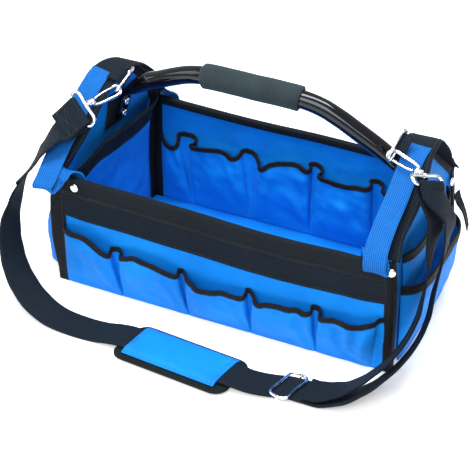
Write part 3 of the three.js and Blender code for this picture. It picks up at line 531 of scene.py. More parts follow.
def cloth_material(name, dark, mid, light, rough=0.62, sheen=0.5, pitch=0.0009, weave=0.25, tint=(0.2, 0.55, 1.0)):
    m, nt, N, L, p = nodes_of(name)
    w = weave_height(nt, pitch, pitch)
    big = noise(nt, 14, 4, 0.6)
    fine = noise(nt, 420, 2, 0.6)
    base = ramp(nt, math_node(nt, "ADD", math_node(nt, "MULTIPLY", big, 0.75), math_node(nt, "MULTIPLY", fine, 0.25)), [(0.3, dark), (0.5, mid), (0.72, light)])
    thread = ramp(nt, w, [(0.0, tuple(c * 0.78 for c in (1, 1, 1))), (1.0, (1.06, 1.06, 1.06))])
    L.new(mix_color(nt, 0.6, base, thread, "MULTIPLY"), p.inputs["Base Color"])
    r = math_node(nt, "ADD", math_node(nt, "MULTIPLY", fine, 0.16), rough - 0.08)
    L.new(r, p.inputs["Roughness"])
    p.inputs["Sheen Weight"].default_value = sheen
    p.inputs["Sheen Roughness"].default_value = 0.45
    p.inputs["Sheen Tint"].default_value = (*tint, 1)
    p.inputs["Specular IOR Level"].default_value = 0.12
    drape = bump(nt, noise(nt, 17, 3, 0.45), 0.009, 0.4, None)
    soft = bump(nt, noise(nt, 60, 3, 0.5), 0.0014, 0.45, None, drape)
    bump(nt, w, 0.00022, weave, p, soft)
    return m


def webbing_material(name, dark, light, rib=0.0016, warp=0.0022, rough=0.7, sheen=0.25, twill=False, spec=0.3, tint=(0.7, 0.8, 1.0)):
    """Ribs across the length (u) with rows of warp threads (v)."""
    m, nt, N, L, p = nodes_of(name)
    u, v = cloth_uv(nt)
    if twill:
        d1 = wave1(nt, math_node(nt, "ADD", u, math_node(nt, "MULTIPLY", v, 0.9)), rib)
        d2 = wave1(nt, v, warp)
        h = math_node(nt, "ADD", math_node(nt, "MULTIPLY", d1, 0.6), math_node(nt, "MULTIPLY", d2, 0.4))
    else:
        col = math_node(nt, "FLOOR", math_node(nt, "DIVIDE", v, warp))
        odd = math_node(nt, "MULTIPLY", math_node(nt, "MODULO", col, 2.0), math.pi)
        a = math_node(nt, "ADD", math_node(nt, "MULTIPLY", u, 2 * math.pi / rib), odd)
        ribs = math_node(nt, "ADD", math_node(nt, "MULTIPLY", math_node(nt, "SINE", a), 0.5), 0.5)
        cols = math_node(nt, "ABSOLUTE", math_node(nt, "SINE", math_node(nt, "MULTIPLY", v, math.pi / warp)))
        h = math_node(nt, "ADD", math_node(nt, "MULTIPLY", ribs, 0.55), math_node(nt, "MULTIPLY", cols, 0.45))
    fine = noise(nt, 600, 2, 0.6)
    big = noise(nt, 22, 3, 0.6)
    f = math_node(nt, "ADD", math_node(nt, "MULTIPLY", h, 0.6), math_node(nt, "ADD", math_node(nt, "MULTIPLY", fine, 0.2), math_node(nt, "MULTIPLY", big, 0.2)))
    L.new(ramp(nt, f, [(0.26, dark), (0.7, light)]), p.inputs["Base Color"])
    L.new(math_node(nt, "ADD", math_node(nt, "MULTIPLY", fine, 0.2), rough - 0.1), p.inputs["Roughness"])
    p.inputs["Sheen Weight"].default_value = sheen
    p.inputs["Sheen Roughness"].default_value = 0.4
    p.inputs["Sheen Tint"].default_value = (*tint, 1)
    p.inputs["Specular IOR Level"].default_value = spec
    bump(nt, h, 0.0005, 0.75, p)
    return m


def metal_material(name, color, rough, scratch=0.06):
    m, nt, N, L, p = nodes_of(name)
    fine = noise(nt, 260, 4, 0.65)
    L.new(ramp(nt, fine, [(0.3, tuple(c * 0.93 for c in color)), (0.75, color)]), p.inputs["Base Color"])
    L.new(math_node(nt, "ADD", math_node(nt, "MULTIPLY", fine, scratch), rough), p.inputs["Roughness"])
    p.inputs["Metallic"].default_value = 1.0
    bump(nt, noise(nt, 90, 3, 0.5), 0.0003, 0.12, p)
    return m


BLUE = cloth_material("blue_cloth", (0.0015, 0.15, 0.56), (0.002, 0.19, 0.67), (0.004, 0.24, 0.77), sheen=0.06)
WEB_BLUE = webbing_material("blue_webbing", (0.0004, 0.02, 0.13), (0.006, 0.155, 0.52), rib=0.0027, warp=0.0023, twill=True, rough=0.66, sheen=0.03, spec=0.12, tint=(0.2, 0.5, 1.0))
WEB_BLACK = webbing_material("black_webbing", (0.0002, 0.0004, 0.001), (0.0095, 0.0165, 0.0265), rib=0.0026, warp=0.003, sheen=0.01, spec=0.08)
TAPE = webbing_material("black_tape", (0.001, 0.0012, 0.002), (0.006, 0.0075, 0.011), rib=0.0011, warp=0.0012, rough=0.66, sheen=0.02, spec=0.14)
EDGE = webbing_material("black_edge", (0.0006, 0.0012, 0.0022), (0.0075, 0.0118, 0.0168), rib=0.001, warp=0.0014, rough=0.72, sheen=0.02, spec=0.12)
THREAD_BLACK = webbing_material("black_thread", (0.004, 0.005, 0.007), (0.02, 0.024, 0.03), rib=0.0006, warp=0.0006, rough=0.55)
THREAD_BLUE = webbing_material("blue_thread", (0.002, 0.06, 0.32), (0.01, 0.15, 0.6), rib=0.0006, warp=0.0006, rough=0.5)
CHROME = metal_material("chrome", (0.86, 0.87, 0.88), 0.08)


def tube_material():
    m, nt, N, L, p = nodes_of("gloss_black")
    fine = noise(nt, 120, 3, 0.6)
    L.new(ramp(nt, fine, [(0.3, (0.0015, 0.0017, 0.0025)), (0.8, (0.004, 0.0044, 0.006))]), p.inputs["Base Color"])
    L.new(math_node(nt, "ADD", math_node(nt, "MULTIPLY", fine, 0.04), 0.06), p.inputs["Roughness"])
    p.inputs["Coat Weight"].default_value = 0.25
    p.inputs["Coat Roughness"].default_value = 0.03
    p.inputs["Specular IOR Level"].default_value = 0.3
    p.inputs["Specular Tint"].default_value = (0.8, 0.9, 1.0, 1)
    bump(nt, noise(nt, 70, 2, 0.5), 0.0004, 0.1, p)
    return m


def foam_material():
    m, nt, N, L, p = nodes_of("foam")
    v = nt.nodes.new("ShaderNodeTexVoronoi")
    v.inputs["Scale"].default_value = 900
    L.new(object_coords(nt), v.inputs["Vector"])
    fine = noise(nt, 700, 3, 0.7)
    big = noise(nt, 40, 3, 0.5)
    f = math_node(nt, "ADD", math_node(nt, "MULTIPLY", fine, 0.6), math_node(nt, "MULTIPLY", big, 0.4))
    L.new(ramp(nt, f, [(0.3, (0.006, 0.0125, 0.015)), (0.7, (0.019, 0.033, 0.039))]), p.inputs["Base Color"])
    p.inputs["Roughness"].default_value = 0.9
    p.inputs["Sheen Weight"].default_value = 0.06
    p.inputs["Sheen Roughness"].default_value = 0.6
    p.inputs["Sheen Tint"].default_value = (0.7, 0.85, 0.9, 1)
    p.inputs["Specular IOR Level"].default_value = 0.2
    h = math_node(nt, "ADD", math_node(nt, "MULTIPLY", v.outputs["Distance"], 0.8), math_node(nt, "MULTIPLY", fine, 0.5))
    bump(nt, h, 0.0005, 0.7, p)
    return m


TUBE = tube_material()
FOAM = foam_material()
PAD_CLOTH = cloth_material("pad_cloth", (0.0015, 0.005, 0.005), (0.0025, 0.008, 0.008), (0.004, 0.012, 0.012), rough=0.8, sheen=0.05, pitch=0.0012, weave=0.5, tint=(0.6, 0.8, 0.75))


def place(name, data, material, nodes=(), body="tote", subdiv=0):
    v, f, uv = data
    o = make(name, v, f, material, uv)
    if subdiv:
        s = o.modifiers.new("round", "SUBSURF")
        s.levels = s.render_levels = subdiv
    if nodes:
        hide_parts(*nodes)
    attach(o, body)
    return o


# ================================================================ body shell
def wall_wave(st, z):
    """Unevenness of the cloth walls, in mm, kept small where other pieces lie on them."""
    if st[0] == "long":
        x, s = st[2], st[1]
        free = smooth(2, 25, z) * smooth(138, 112, z)
        edge = smooth(206, 175, abs(x))
        return float((0.5 * ripple(x, z, 11 + s, 70.0) + 0.35 * ripple(x, z * 1.4, 21 + s, 34.0)) * free * edge)
    if st[0] == "end":
        y, s = st[2], st[1]
        h = arch_top(y, s)
        free = smooth(2, 25, z) * smooth(h - 4, h - 30, z)
        edge = smooth(104, 80, abs(y))
        w = 0.9 * ripple(y, z, 31 + s, 80.0) + 0.5 * ripple(y * 1.2, z, 41 + s, 38.0)
        return float(w * free * edge)
    return 0.0


def ring_stations(n_end, n_long, n_corner):
    ring = []
    ye = np.linspace(-105, 105, n_end)
    xl = np.linspace(-205, 205, n_long)
    ca = np.linspace(0.15, 1.42, n_corner)
    for y in ye:
        ring.append(("end", 1, y))
    for a in ca:
        ring.append(("corner", 1, 1, a))
    for x in xl[::-1]:
        ring.append(("long", 1, x * long_scale(1, x)))
    for a in ca[::-1]:
        ring.append(("corner", -1, 1, a))
    for y in ye[::-1]:
        ring.append(("end", -1, y))
    for a in ca:
        ring.append(("corner", -1, -1, a))
    for x in xl:
        ring.append(("long", -1, x))
    for a in ca[::-1]:
        ring.append(("corner", 1, -1, a))
    return ring


def body_shell():
    ring = ring_stations(41, 67, 6)
    rows = list(np.linspace(0, 1, 30) ** 0.92)
    secs = []
    for st in ring:
        h = rim_of(st)
        outer, inner = [], []
        for t in rows:
            z = t * h
            w = wall_wave(st, z)
            outer.append(wall_point(st, z, (-1.5 if t == 0 else (-0.4 if t < 0.02 else 0)) + w))
            zi = max(z, WALL)
            inner.append(wall_point(st, zi, -WALL + wall_wave(st, zi)))
        top = wall_point(st, h + 0.5, -WALL / 2)
        secs.append(outer[:-1] + [wall_point(st, h - 0.5, 0), wall_point(st, h + 0.1, -0.6), top, wall_point(st, h + 0.1, -WALL + 0.6)] + inner[::-1])
    secs = np.array(secs)
    n, m = secs.shape[:2]
    c = secs[:, m // 3]
    u = np.concatenate([[0], np.cumsum(np.linalg.norm(np.diff(np.vstack([c, c[:1]]), axis=0), axis=1))])
    r = secs[n // 3]
    vl = np.concatenate([[0], np.cumsum(np.linalg.norm(np.diff(r, axis=0), axis=1))])
    verts = list(secs.reshape(-1, 3))
    faces, uv = [], []
    for i in range(n):
        p, q = i * m, ((i + 1) % n) * m
        for j in range(m - 1):
            faces.append((p + j, q + j, q + j + 1, p + j + 1))
            uv += [(u[i], vl[j]), (u[i + 1], vl[j]), (u[i + 1], vl[j + 1]), (u[i], vl[j + 1])]
    # floor, under and upper side, as rings drawn in towards the middle
    for top in (False, True):
        idx = [i * m + (m - 1 if top else 0) for i in range(n)]
        ring0 = np.array([verts[k] for k in idx])
        prev = idx
        for f in (0.97, 0.9, 0.78, 0.62, 0.45, 0.28, 0.12):
            cur = []
            for k in range(n):
                p = ring0[k] * V(f, f, 1)
                if top:
                    p[2] += 0.9 * float(ripple(p[0], p[1], 77, 120.0)) * (1 - f) ** 0.5 + 0.6
                cur.append(len(verts))
                verts.append(p)
            for k in range(n):
                l = (k + 1) % n
                face = (prev[k], prev[l], cur[l], cur[k])
                if not top:
                    face = tuple(reversed(face))
                faces.append(face)
                uv += [(verts[x][0], verts[x][1]) for x in face]
            prev = cur
        c0 = len(verts)
        verts.append(V(0, 0, WALL + 0.6 if top else 0))
        for k in range(n):
            l = (k + 1) % n
            face = (prev[k], prev[l], c0)
            if not top:
                face = tuple(reversed(face))
            faces.append(face)
            uv += [(verts[x][0], verts[x][1]) for x in face]
    if not fix_normals(verts, faces):
        out, o, at = [], [], 0
        for f in faces:
            out.append(tuple(reversed(f)))
            o += list(reversed(uv[at:at + len(f)]))
            at += len(f)
        faces, uv = out, o
    return np.array(verts), faces, np.array(uv, float) * 0.001


place("shell", body_shell(), BLUE, ["body_shell"])


# ================================================================ bands on the long rims
def band(name, node, sign, inner):
    xs = np.linspace(-205.5, 207.5, 101) if sign < 0 else np.linspace(-193.5, 184.0, 93)
    half = 2 * GAP + 0.25 + BAND_T / 2
    parts = []
    # lower ribbed webbing
    G = []
    zs = np.linspace(0, 1, 9)
    for x in xs:
        h = float(rim_long(x, sign))
        row = []
        for t in zs:
            z = h - BAND_H + t * 31.0
            w = 0.25 * float(ripple(x, z, 51 + sign, 60.0))
            row.append(V(x, float(long_y(sign, x, min(z, h))) + sign * (half - 0.1 + w), z))
        G.append(row)
    lower = slab(np.array(G), BAND_T - 0.3)
    # smooth folded edge over the rim, lying on the webbing
    G = []
    for x in xs:
        h = float(rim_long(x, sign))
        w = 0.4 * float(ripple(x, 0, 57 + sign, 50.0))
        dz = 0.5 * float(ripple(x, 3, 63 + sign, 90.0))

        def p(off, z):
            return V(x, float(long_y(sign, x, min(z, h))) + sign * off, z)
        o = half + 0.75
        row = [p(o, h - 21.0 + dz), p(o + w * 0.6, h - 16), p(o + w, h - 10), p(o + 0.1 + w, h - 5), p(o, h - 1.2)]
        for a in np.linspace(0.18, 0.82, 7) * math.pi:
            R = (WALL + 2 * o) / 2
            row.append(p(-WALL / 2 + R * math.cos(a), h - 0.6 + R * 0.62 * math.sin(a)))
        oi = -WALL - half - 0.1
        row += [p(oi, h - 1.4), p(oi, h - inner * 0.45), p(oi, h - inner * 0.75), p(oi, h - inner)]
        G.append(row)
    upper = slab(np.array(G), BAND_T - 0.2)
    place(name, lower, WEB_BLACK, [node])
    place(name + "_fold", upper, EDGE, [node])
    # sewing: two rows on the fold's lower edge and one along the webbing's lower edge
    rows = []
    for dz, off in ((-19.0, half + 0.75 + BAND_T / 2 - 0.1), (-16.8, half + 0.75 + BAND_T / 2 - 0.1), (-BAND_H + 2.6, half + BAND_T / 2 - 0.2)):
        P = [V(x, float(long_y(sign, x, rim_long(x, sign) + dz)) + sign * off, float(rim_long(x, sign)) + dz) for x in xs[1:-1]]
        rows.append(stitches(P, [V(0, sign, 0)] * len(P)))
    place(name + "_sewing", join_data(rows), THREAD_BLACK)


band("front_rim", "front_band", -1, 13)
band("back_rim", "back_band", 1, 6.5)


# ================================================================ corner tapes
def corner_tape(name, node, side, sign, wing_long, wing_end):
    """Tape folded over an upright corner's seam, a little proud of it."""
    off = 1.5
    sts = [("end", side, sign * y) for y in np.linspace(wing_end, 105, 4)]
    sts += [("corner", side, sign, a) for a in np.linspace(0.2, 1.4, 7)]
    sts += [("long", sign, side * x * long_scale(sign, side)) for x in np.linspace(205, wing_long, 4)]
    m = len(sts) - 1
    G = []
    for z in np.linspace(0.4, 141, 41):
        row = []
        for k, st in enumerate(sts):
            ridge = 0.8 * math.exp(-((k - m / 2) / 2.2) ** 2)
            row.append(wall_point(st, z, off + ridge + 0.3 * float(ripple(z, k * 3, 91 + side, 40.0))))
        G.append(row)
    place(name, slab(np.array(G), 1.7), TAPE, [node])
    rows = []
    for k, st in ((1, sts[1]), (m - 1, sts[m - 1])):
        P = [wall_point(st, z, off + 0.85) for z in np.linspace(3, 135, 40)]
        N = [V(side, 0, 0) if st[0] == "end" else V(0, sign, 0)] * 40
        rows.append(stitches(P, N))
    place(name + "_sewing", join_data(rows), THREAD_BLACK)


for nm, nd, sd, sg, wl, we in (("corner_tape_fl", "binding_fl", -1, -1, 197.5, 98), ("corner_tape_fr", "binding_fr", 1, -1, 202.5, 100), ("corner_tape_bl", "binding_bl", -1, 1, 197, 98), ("corner_tape_br", "binding_br", 1, 1, 197, 99)):
    corner_tape(nm, nd, sd, sg, wl, we)

for nm, nd, side in (("inner_tape_l", "inner_tape_bl", -1), ("inner_tape_r", "inner_tape_br", 1)):
    off = -WALL - GAP - 0.9
    sts = [("end", side, y) for y in (94.5, 97)] + [("corner", side, 1, a) for a in (0.3, 0.6, 0.9, 1.2)] + [("long", 1, side * x * long_scale(1, side)) for x in (197.5, 195)]
    G = [[wall_point(st, min(z, rim_of(st) - 1.5), off - 1.4 * math.sin(k / 7 * math.pi) - 0.4 * math.sin(z / 13)) for k, st in enumerate(sts)] for z in np.linspace(WALL + 0.6, 146 if side < 0 else 134, 34)]
    place(nm, slab(np.array(G), 2.0), TAPE, [nd])

# ================================================================ webbing over the arches
ARCH_ROWS = [[-101, 15, 1], [-97, 15, 1], [-88, 18, 1], [-76, 27, 2], [-62, 35, 4], [-48, 38, 5], [-34, 38, 6], [-20, 38, 6], [-7, 38, 6],
             [7, 38, 5], [20, 38, 4], [34, 38, 3], [48, 38, 2], [62, 36, 0], [76, 28, -1], [88, 20, 0], [97, 15, 0], [101, 15, 0]]
ARCH_LIFT = 1.6 + BAND_T / 2


def arch_frame(y, side):
    n = unit(V(0, -(float(arch_top(y + 2, side)) - float(arch_top(y - 2, side))) / 4, 1))
    w = table([[r[0], r[1]] for r in ARCH_ROWS], y)
    s = table([[r[0], r[2]] for r in ARCH_ROWS], y) + (2 if side > 0 else 0)
    z = float(arch_top(y, side))
    c = V(float(end_x(side, y, z)) + side * (s - WALL / 2), y, z)
    return c, n, float(w)


for nm, side in (("arch_band_left", -1), ("arch_band_right", 1)):
    G, ra, rb = [], [], []
    for y in np.linspace(-107.5, 107.5, 116):
        c, n, w = arch_frame(y, side)
        row = []
        for k in np.linspace(-1, 1, 13):
            drop = -0.9 * abs(k) ** 5 + 0.25 * float(ripple(y, k * 20, 101 + side, 40.0))
            row.append(c + V(k * w / 2, 0, 0) + n * (ARCH_LIFT + 0.35 + drop))
        G.append(row)
        ra.append((row[1] + n * 0.9 + V(0.6, 0, 0), n))
        rb.append((row[-2] + n * 0.9 - V(0.6, 0, 0), n))
    place(nm + "_cloth", slab(np.array(G), BAND_T), WEB_BLACK, [nm])
    place(nm + "_sewing", join_data([stitches([a for a, _ in r], [b for _, b in r]) for r in (ra, rb)]), THREAD_BLACK)
    # folded edging down both faces of the arch under the webbing
    for face, tag in ((1, "out"), (-1, "in")):
        G = []
        for y in np.linspace(-107, 107, 96):
            zt = float(arch_top(y, side))
            n = arch_frame(y, side)[1]
            row = []
            for d in np.linspace(0.5, 9.5, 5):
                p = V(0, y, zt) - n * d
                off = (GAP + 0.8) if face > 0 else (-WALL - GAP - 0.8)
                x = float(end_x(side, p[1], min(p[2], zt))) + side * off
                row.append(V(x, p[1], p[2]))
            G.append(row)
        place(nm + "_edge_" + tag, slab(np.array(G), 1.0), EDGE)

# ================================================================ pleated pockets
SHARE = [[0, 0.1], [0.35, 0.5], [0.7, 0.85], [1, 1]]
# Mouth of each row of pockets: x, height, stand-off from the wall, and x at the floor where
# it isn't shared out evenly. A pleat lies flat on the wall at its seam and widens below its tape.
FRONT_MOUTH = [
    (-199, 73.5, 2.0, -199), (-192.6, 74.2, 9, -194), (-181.9, 74.1, 13), (-170.5, 73.9, 14), (-157.3, 69.6, 14.5), (-144.2, 64.6, 15), (-137.4, 60.6, 14.5, -124.2), (-133.6, 59.4, 12, -123.6),
    (-134.3, 60.8, 7, -123.2), (-135.2, 62.2, 1.4, -122.9), (-131, 63.4, 1.2, -122.7), (-126, 64.2, 1.4, -122.5), (-120.9, 63.5, 6, -122.2), (-119.6, 61, 11, -121.8), (-117, 61.4, 13.5, -121.2),
    (-111, 63.5, 14), (-100.3, 66.1, 14), (-91.2, 64.0, 14.5), (-78.2, 63.1, 14), (-65.3, 61.6, 14), (-52.5, 58.6, 14.5, -38.6), (-47.4, 57.6, 14, -37.6), (-44.6, 58.2, 12, -37.2),
    (-45.8, 59, 7, -37), (-47.1, 59.2, 1.4, -36.9), (-44.8, 59.8, 1.2, -36.7), (-42.2, 59.6, 1.4, -36.5), (-37.6, 58.4, 6, -36.2), (-33, 56.6, 11, -35.8), (-28.5, 55.6, 13.5, -35),
    (-24.6, 54.4, 14.5), (-21.6, 51, 15), (-17, 48.6, 15), (-9, 48.4, 14.5), (-1.8, 49.4, 14), (13.4, 53.4, 13.5), (23.4, 53.1, 14), (33.3, 52.7, 14, 40.2), (38.4, 54, 12.5, 41.2),
    (39.2, 56, 7, 41.6), (38.4, 57.8, 1.4, 41.8), (40.4, 58.4, 1.2, 42), (43, 58.0, 1.6, 42.2), (48.2, 56, 6, 42.6), (52, 52.4, 11, 43), (57, 50.6, 13.8, 44),
    (67.9, 53.8, 14), (80.1, 54.9, 13.5), (92.2, 55.2, 14), (104.3, 56.9, 14), (111.5, 55.1, 14.5, 120.2), (117.6, 56.6, 14, 121.4), (120.2, 58.4, 11, 122),
    (119, 59.6, 6, 122.3), (118.6, 60, 1.4, 122.6), (121.8, 60.4, 1.2, 122.8), (125.2, 60, 1.4, 123), (129.4, 58.2, 5, 123.4), (130, 55.2, 10, 123.8), (134, 54.6, 13.5, 124.6),
    (147.3, 57.3, 14), (156.7, 57.6, 14), (168.5, 55.8, 14.5), (180.1, 57.4, 14), (189, 61.6, 13.5, 185.6), (195, 65, 10, 187), (197, 66.6, 5, 188.4), (199.6, 67.4, 2.4, 195), (203.6, 67.8, 1.6, 203)]
BACK_MOUTH = [
    (-191, 95.6, 1.6, -190), (-186.7, 88.3, 6, -188), (-179.9, 83.9, 11, -178), (-172.7, 82.9, 14, -165), (-166.4, 84.6, 14, -150), (-163.6, 87.6, 11, -147), (-164.6, 92.1, 6, -146),
    (-165.1, 97, 1.4, -145.4), (-160.9, 99.7, 1.2, -145.2), (-154, 100.2, 1.2, -145), (-147.6, 100.2, 1.4, -144.8), (-142, 97.8, 3.5, -144.6), (-141.8, 93.4, 7, -144.2), (-145.6, 89.6, 11, -143.8), (-140, 89.6, 14, -142.6),
    (-130.9, 91.7, 14), (-117.1, 93.7, 14), (-103.4, 95.7, 14), (-95.2, 93.6, 14.5), (-89.8, 89.6, 15), (-82.2, 90.2, 14, -67), (-78.9, 93.1, 9, -66.2),
    (-78.3, 95.8, 3, -65.8), (-74.3, 97.5, 1.4, -65.5), (-70, 97.8, 1.2, -65.4), (-65.6, 97.1, 1.4, -65.2), (-59.5, 94.7, 4, -64.8), (-54.4, 89, 8, -64.2), (-51.6, 84.6, 12, -63.4), (-46.6, 83.9, 14, -61.6),
    (-41.2, 87.7, 14), (-34.5, 93.2, 14), (-22.4, 98.1, 13.5), (-9.2, 100.9, 13.5), (1.4, 100.6, 14), (8.8, 97, 14.5, 10), (13.4, 95.6, 12, 11.4),
    (14.2, 96.6, 6, 12), (12.8, 99.4, 1.4, 12.3), (17, 102, 1.2, 12.5), (22.4, 101.6, 1.4, 12.7), (28, 99.3, 4, 13), (28.6, 95.6, 7, 13.4), (27, 93.4, 11, 14), (31.8, 92.2, 13.8, 15.4),
    (41, 90.9, 14), (51.5, 88.6, 14.5), (63.2, 88.8, 14.5), (76.1, 90.9, 14), (86.5, 91.3, 14, 93.6), (92, 92, 11, 94.8), (93.4, 94.1, 6, 95.2),
    (92, 97, 1.4, 95.5), (96.2, 99.5, 1.2, 95.7), (102, 99.7, 1.4, 95.9), (108.4, 98, 5, 96.4), (110, 95.4, 10, 97), (117, 94.2, 13.8, 99), (135, 91, 14.5), (152, 91.6, 14), (163, 94.6, 11, 166), (169, 97.6, 5, 170), (173, 99, 1.6, 174)]


def mouth_rows(rows):
    """Fills in the x at the floor of the rows between two pleats."""
    out = [list(r) + [None] * (4 - len(r)) for r in rows]
    known = [i for i, r in enumerate(out) if r[3] is not None]
    for a, b in zip(known[:-1], known[1:]):
        for i in range(a + 1, b):
            t = (out[i][0] - out[a][0]) / (out[b][0] - out[a][0])
            out[i][3] = mix(out[a][3], out[b][3], t)
    return np.array(out, float)


def pleat_surface(rows, z0, wall_y, seed, folds=(), nf=30, per=7):
    R = mouth_rows(rows)
    n = len(R) - 1
    # shape of the mouth, sampled densely
    c = Curve(np.stack([R[:, 0], R[:, 2], R[:, 1]], 1))
    t = np.linspace(0, 1, n * per + 1)
    Q = c.at(t)
    fx = np.interp(t, np.linspace(0, 1, n + 1), R[:, 3])
    Q[:, 1] = np.clip(Q[:, 1], 1.0, 16)
    cols = []
    for f in np.linspace(0, 1, nf):
        g = f ** 0.92
        x = mix(fx, Q[:, 0], g)
        z = z0 + (Q[:, 2] - 2.6 - z0) * f
        share = float(table(SHARE, f))
        puff = np.clip((Q[:, 1] - 2) / 12.0, 0, 1)
        belly = 2.2 * math.sin(math.pi * f) * puff
        wr = 1.3 * ripple(x, z, seed, 52.0) + 0.75 * ripple(x * 0.7 + z * 0.8, z, seed + 5, 27.0) * (0.4 + 0.6 * f)
        off = GAP + SHEET_T / 2 + 0.1 + (Q[:, 1] - 1.0) * share + belly + wr * puff * float(smooth(0, 0.3, f))
        for p, q, width, depth in folds:
            off = off + 1.7 * depth * crease(x, z, p, q, width) * puff
        y = np.array([float(wall_y(a, b)) for a, b in zip(x, z)]) - np.maximum(off, 0.9)
        cols.append(np.stack([x, y, z], 1))
    return np.array(cols).transpose(1, 0, 2)


def tape_along(M, D, N, low, high, thick, wob=0.25, seed=5):
    """Rounded tape over an edge: M points along the edge, D up from it, N normal to the cloth."""
    L = np.concatenate([[0], np.cumsum(np.linalg.norm(np.diff(M, axis=0), axis=1))])
    secs = []
    a, h = thick / 2, (high - low) / 2
    for i in range(len(M)):
        c = M[i] + D[i] * (low + high) / 2
        k = 1 + wob * 0.3 * float(ripple(L[i], 0, seed, 22.0))
        prof = [(-1, -1), (-1, -0.5), (-1.02, 0), (-1, 0.55), (-0.7, 0.9), (0, 1.04), (0.7, 0.9), (1, 0.55), (1.02, 0), (1, -0.5), (1, -1), (0, -1.0)]
        secs.append([c + N[i] * (p * a * k) + D[i] * (q * h) for p, q in prof])
    return loops_mesh(np.array(secs), False, u=L)


def edge_frame(G):
    M = G[:, -1]
    D = unit_rows(G[:, -1] - G[:, -3])
    T = unit_rows(np.gradient(M, axis=0))
    N = unit_rows(np.cross(T, D))
    for _ in range(2):
        N[1:-1] = unit_rows(N[:-2] + N[1:-1] * 2 + N[2:])
    D = unit_rows(D - T * (D * T).sum(1)[:, None])
    return M, D, N


def pocket_row(name, node, tape_name, tape_node, rows, z0, wall_y, seed, folds):
    G = pleat_surface(rows, z0, wall_y, seed, folds)
    place(name, slab(G, SHEET_T), BLUE, [node])
    M, D, N = edge_frame(G)
    place(tape_name, tape_along(M, D, N, -0.6, 5.4, 2.9, seed=seed), TAPE, [tape_node])
    for s, tag in ((1, "a"), (-1, "b")):
        P = M + D * 0.5 + N * (s * 1.5)
        place(tape_name + "_sewing_" + tag, stitches(P, N * s, pitch=3.2, length=2.1, r=0.22, lift=0.0), THREAD_BLACK)
    return G


FRONT_FOLDS = [((-140, 50), (-124, 12), 5, -1.6), ((-150, 56), (-128, 10), 8, 1.5), ((-178, 66), (-172, 12), 7, -1.2), ((-58, 50), (-40, 10), 6, -1.5), ((-66, 54), (-46, 8), 8, 1.2),
               ((-112, 56), (-118, 14), 5, -1.3), ((-24, 42), (-32, 10), 5, -1.2), ((30, 46), (40, 8), 5, -1.4), ((60, 42), (46, 8), 5, -1.3), ((106, 50), (120, 8), 6, -1.5), ((96, 52), (112, 6), 8, 1.2),
               ((140, 48), (128, 8), 6, -1.6), ((150, 52), (160, 10), 6, -2.2), ((176, 50), (164, 8), 6, -1.8), ((168, 54), (162, 26), 6, 1.6), ((186, 50), (180, 6), 5, 1.4)]
BACK_FOLDS = [((-172, 76), (-150, 30), 6, -2.0), ((-128, 84), (-142, 30), 7, -1.8), ((-120, 60), (-90, 24), 9, 1.8), ((-88, 80), (-68, 22), 7, -2.2), ((-96, 84), (-76, 40), 7, 1.8), ((-104, 40), (-72, 16), 8, -1.8),
              ((-44, 74), (-62, 24), 7, -2.2), ((-30, 84), (-52, 40), 8, 1.6), ((-4, 84), (8, 28), 7, -1.8), ((-24, 30), (6, 16), 8, -1.6), ((-10, 60), (4, 30), 8, 1.5),
              ((36, 80), (18, 26), 7, -2.0), ((60, 76), (90, 30), 8, -1.8), ((50, 60), (84, 50), 9, 1.4), ((110, 80), (100, 26), 7, -1.8), ((130, 70), (150, 30), 8, -1.5)]
front = pocket_row("front_pocket_cloth", "front_pockets", "front_mouth_tape", "front_pocket_tape", FRONT_MOUTH, 1.2,
                   lambda x, z: long_y(-1, x, z), 201, FRONT_FOLDS)
back = pocket_row("back_pocket_cloth", "back_pockets", "back_mouth_tape", "back_pocket_tape", BACK_MOUTH, WALL + 0.6,
                  lambda x, z: long_y(1, x, z) - WALL, 301, BACK_FOLDS)


# ================================================================ pockets on the ends
def end_pocket(side, rows, y0, y1, power, inside, seed, ny=64, nz=22):
    G = []
    for s in -np.cos(np.linspace(0, 1, ny) * math.pi):
        y = mix(y0, y1, (s + 1) / 2)
        dome = (1 - abs(s) ** power) ** 0.8 if abs(s) < 1 else 0.0
        row = []
        for t in np.linspace(0, 1, nz):
            z = mix(rows[0][0], rows[-1][0], t)
            off = float(table(rows, z))
            if side < 0 and not inside:
                off += 9 * float(smooth(-35, -74, y)) * float(smooth(92, 62, z))
            if inside:
                z -= 36 * min(1.0, max(0.0, (-42 - y) / 36)) ** 2 * float(smooth(40, 133, z))
            w = 1.0 * float(ripple(y, z, seed, 52.0)) + 0.6 * float(ripple(y + z, z, seed + 3, 28.0))
            d = GAP + SHEET_T / 2 + (2.1 if inside else 0.8) + off * dome + w * dome * float(smooth(1.0, 0.82, t) * 0.6 + 0.4) * float(smooth(0, 0.15, t))
            row.append(V(float(end_x(side, y, z)) + side * (-WALL - d if inside else d), y, z))
        G.append(row)
    return np.array(G)


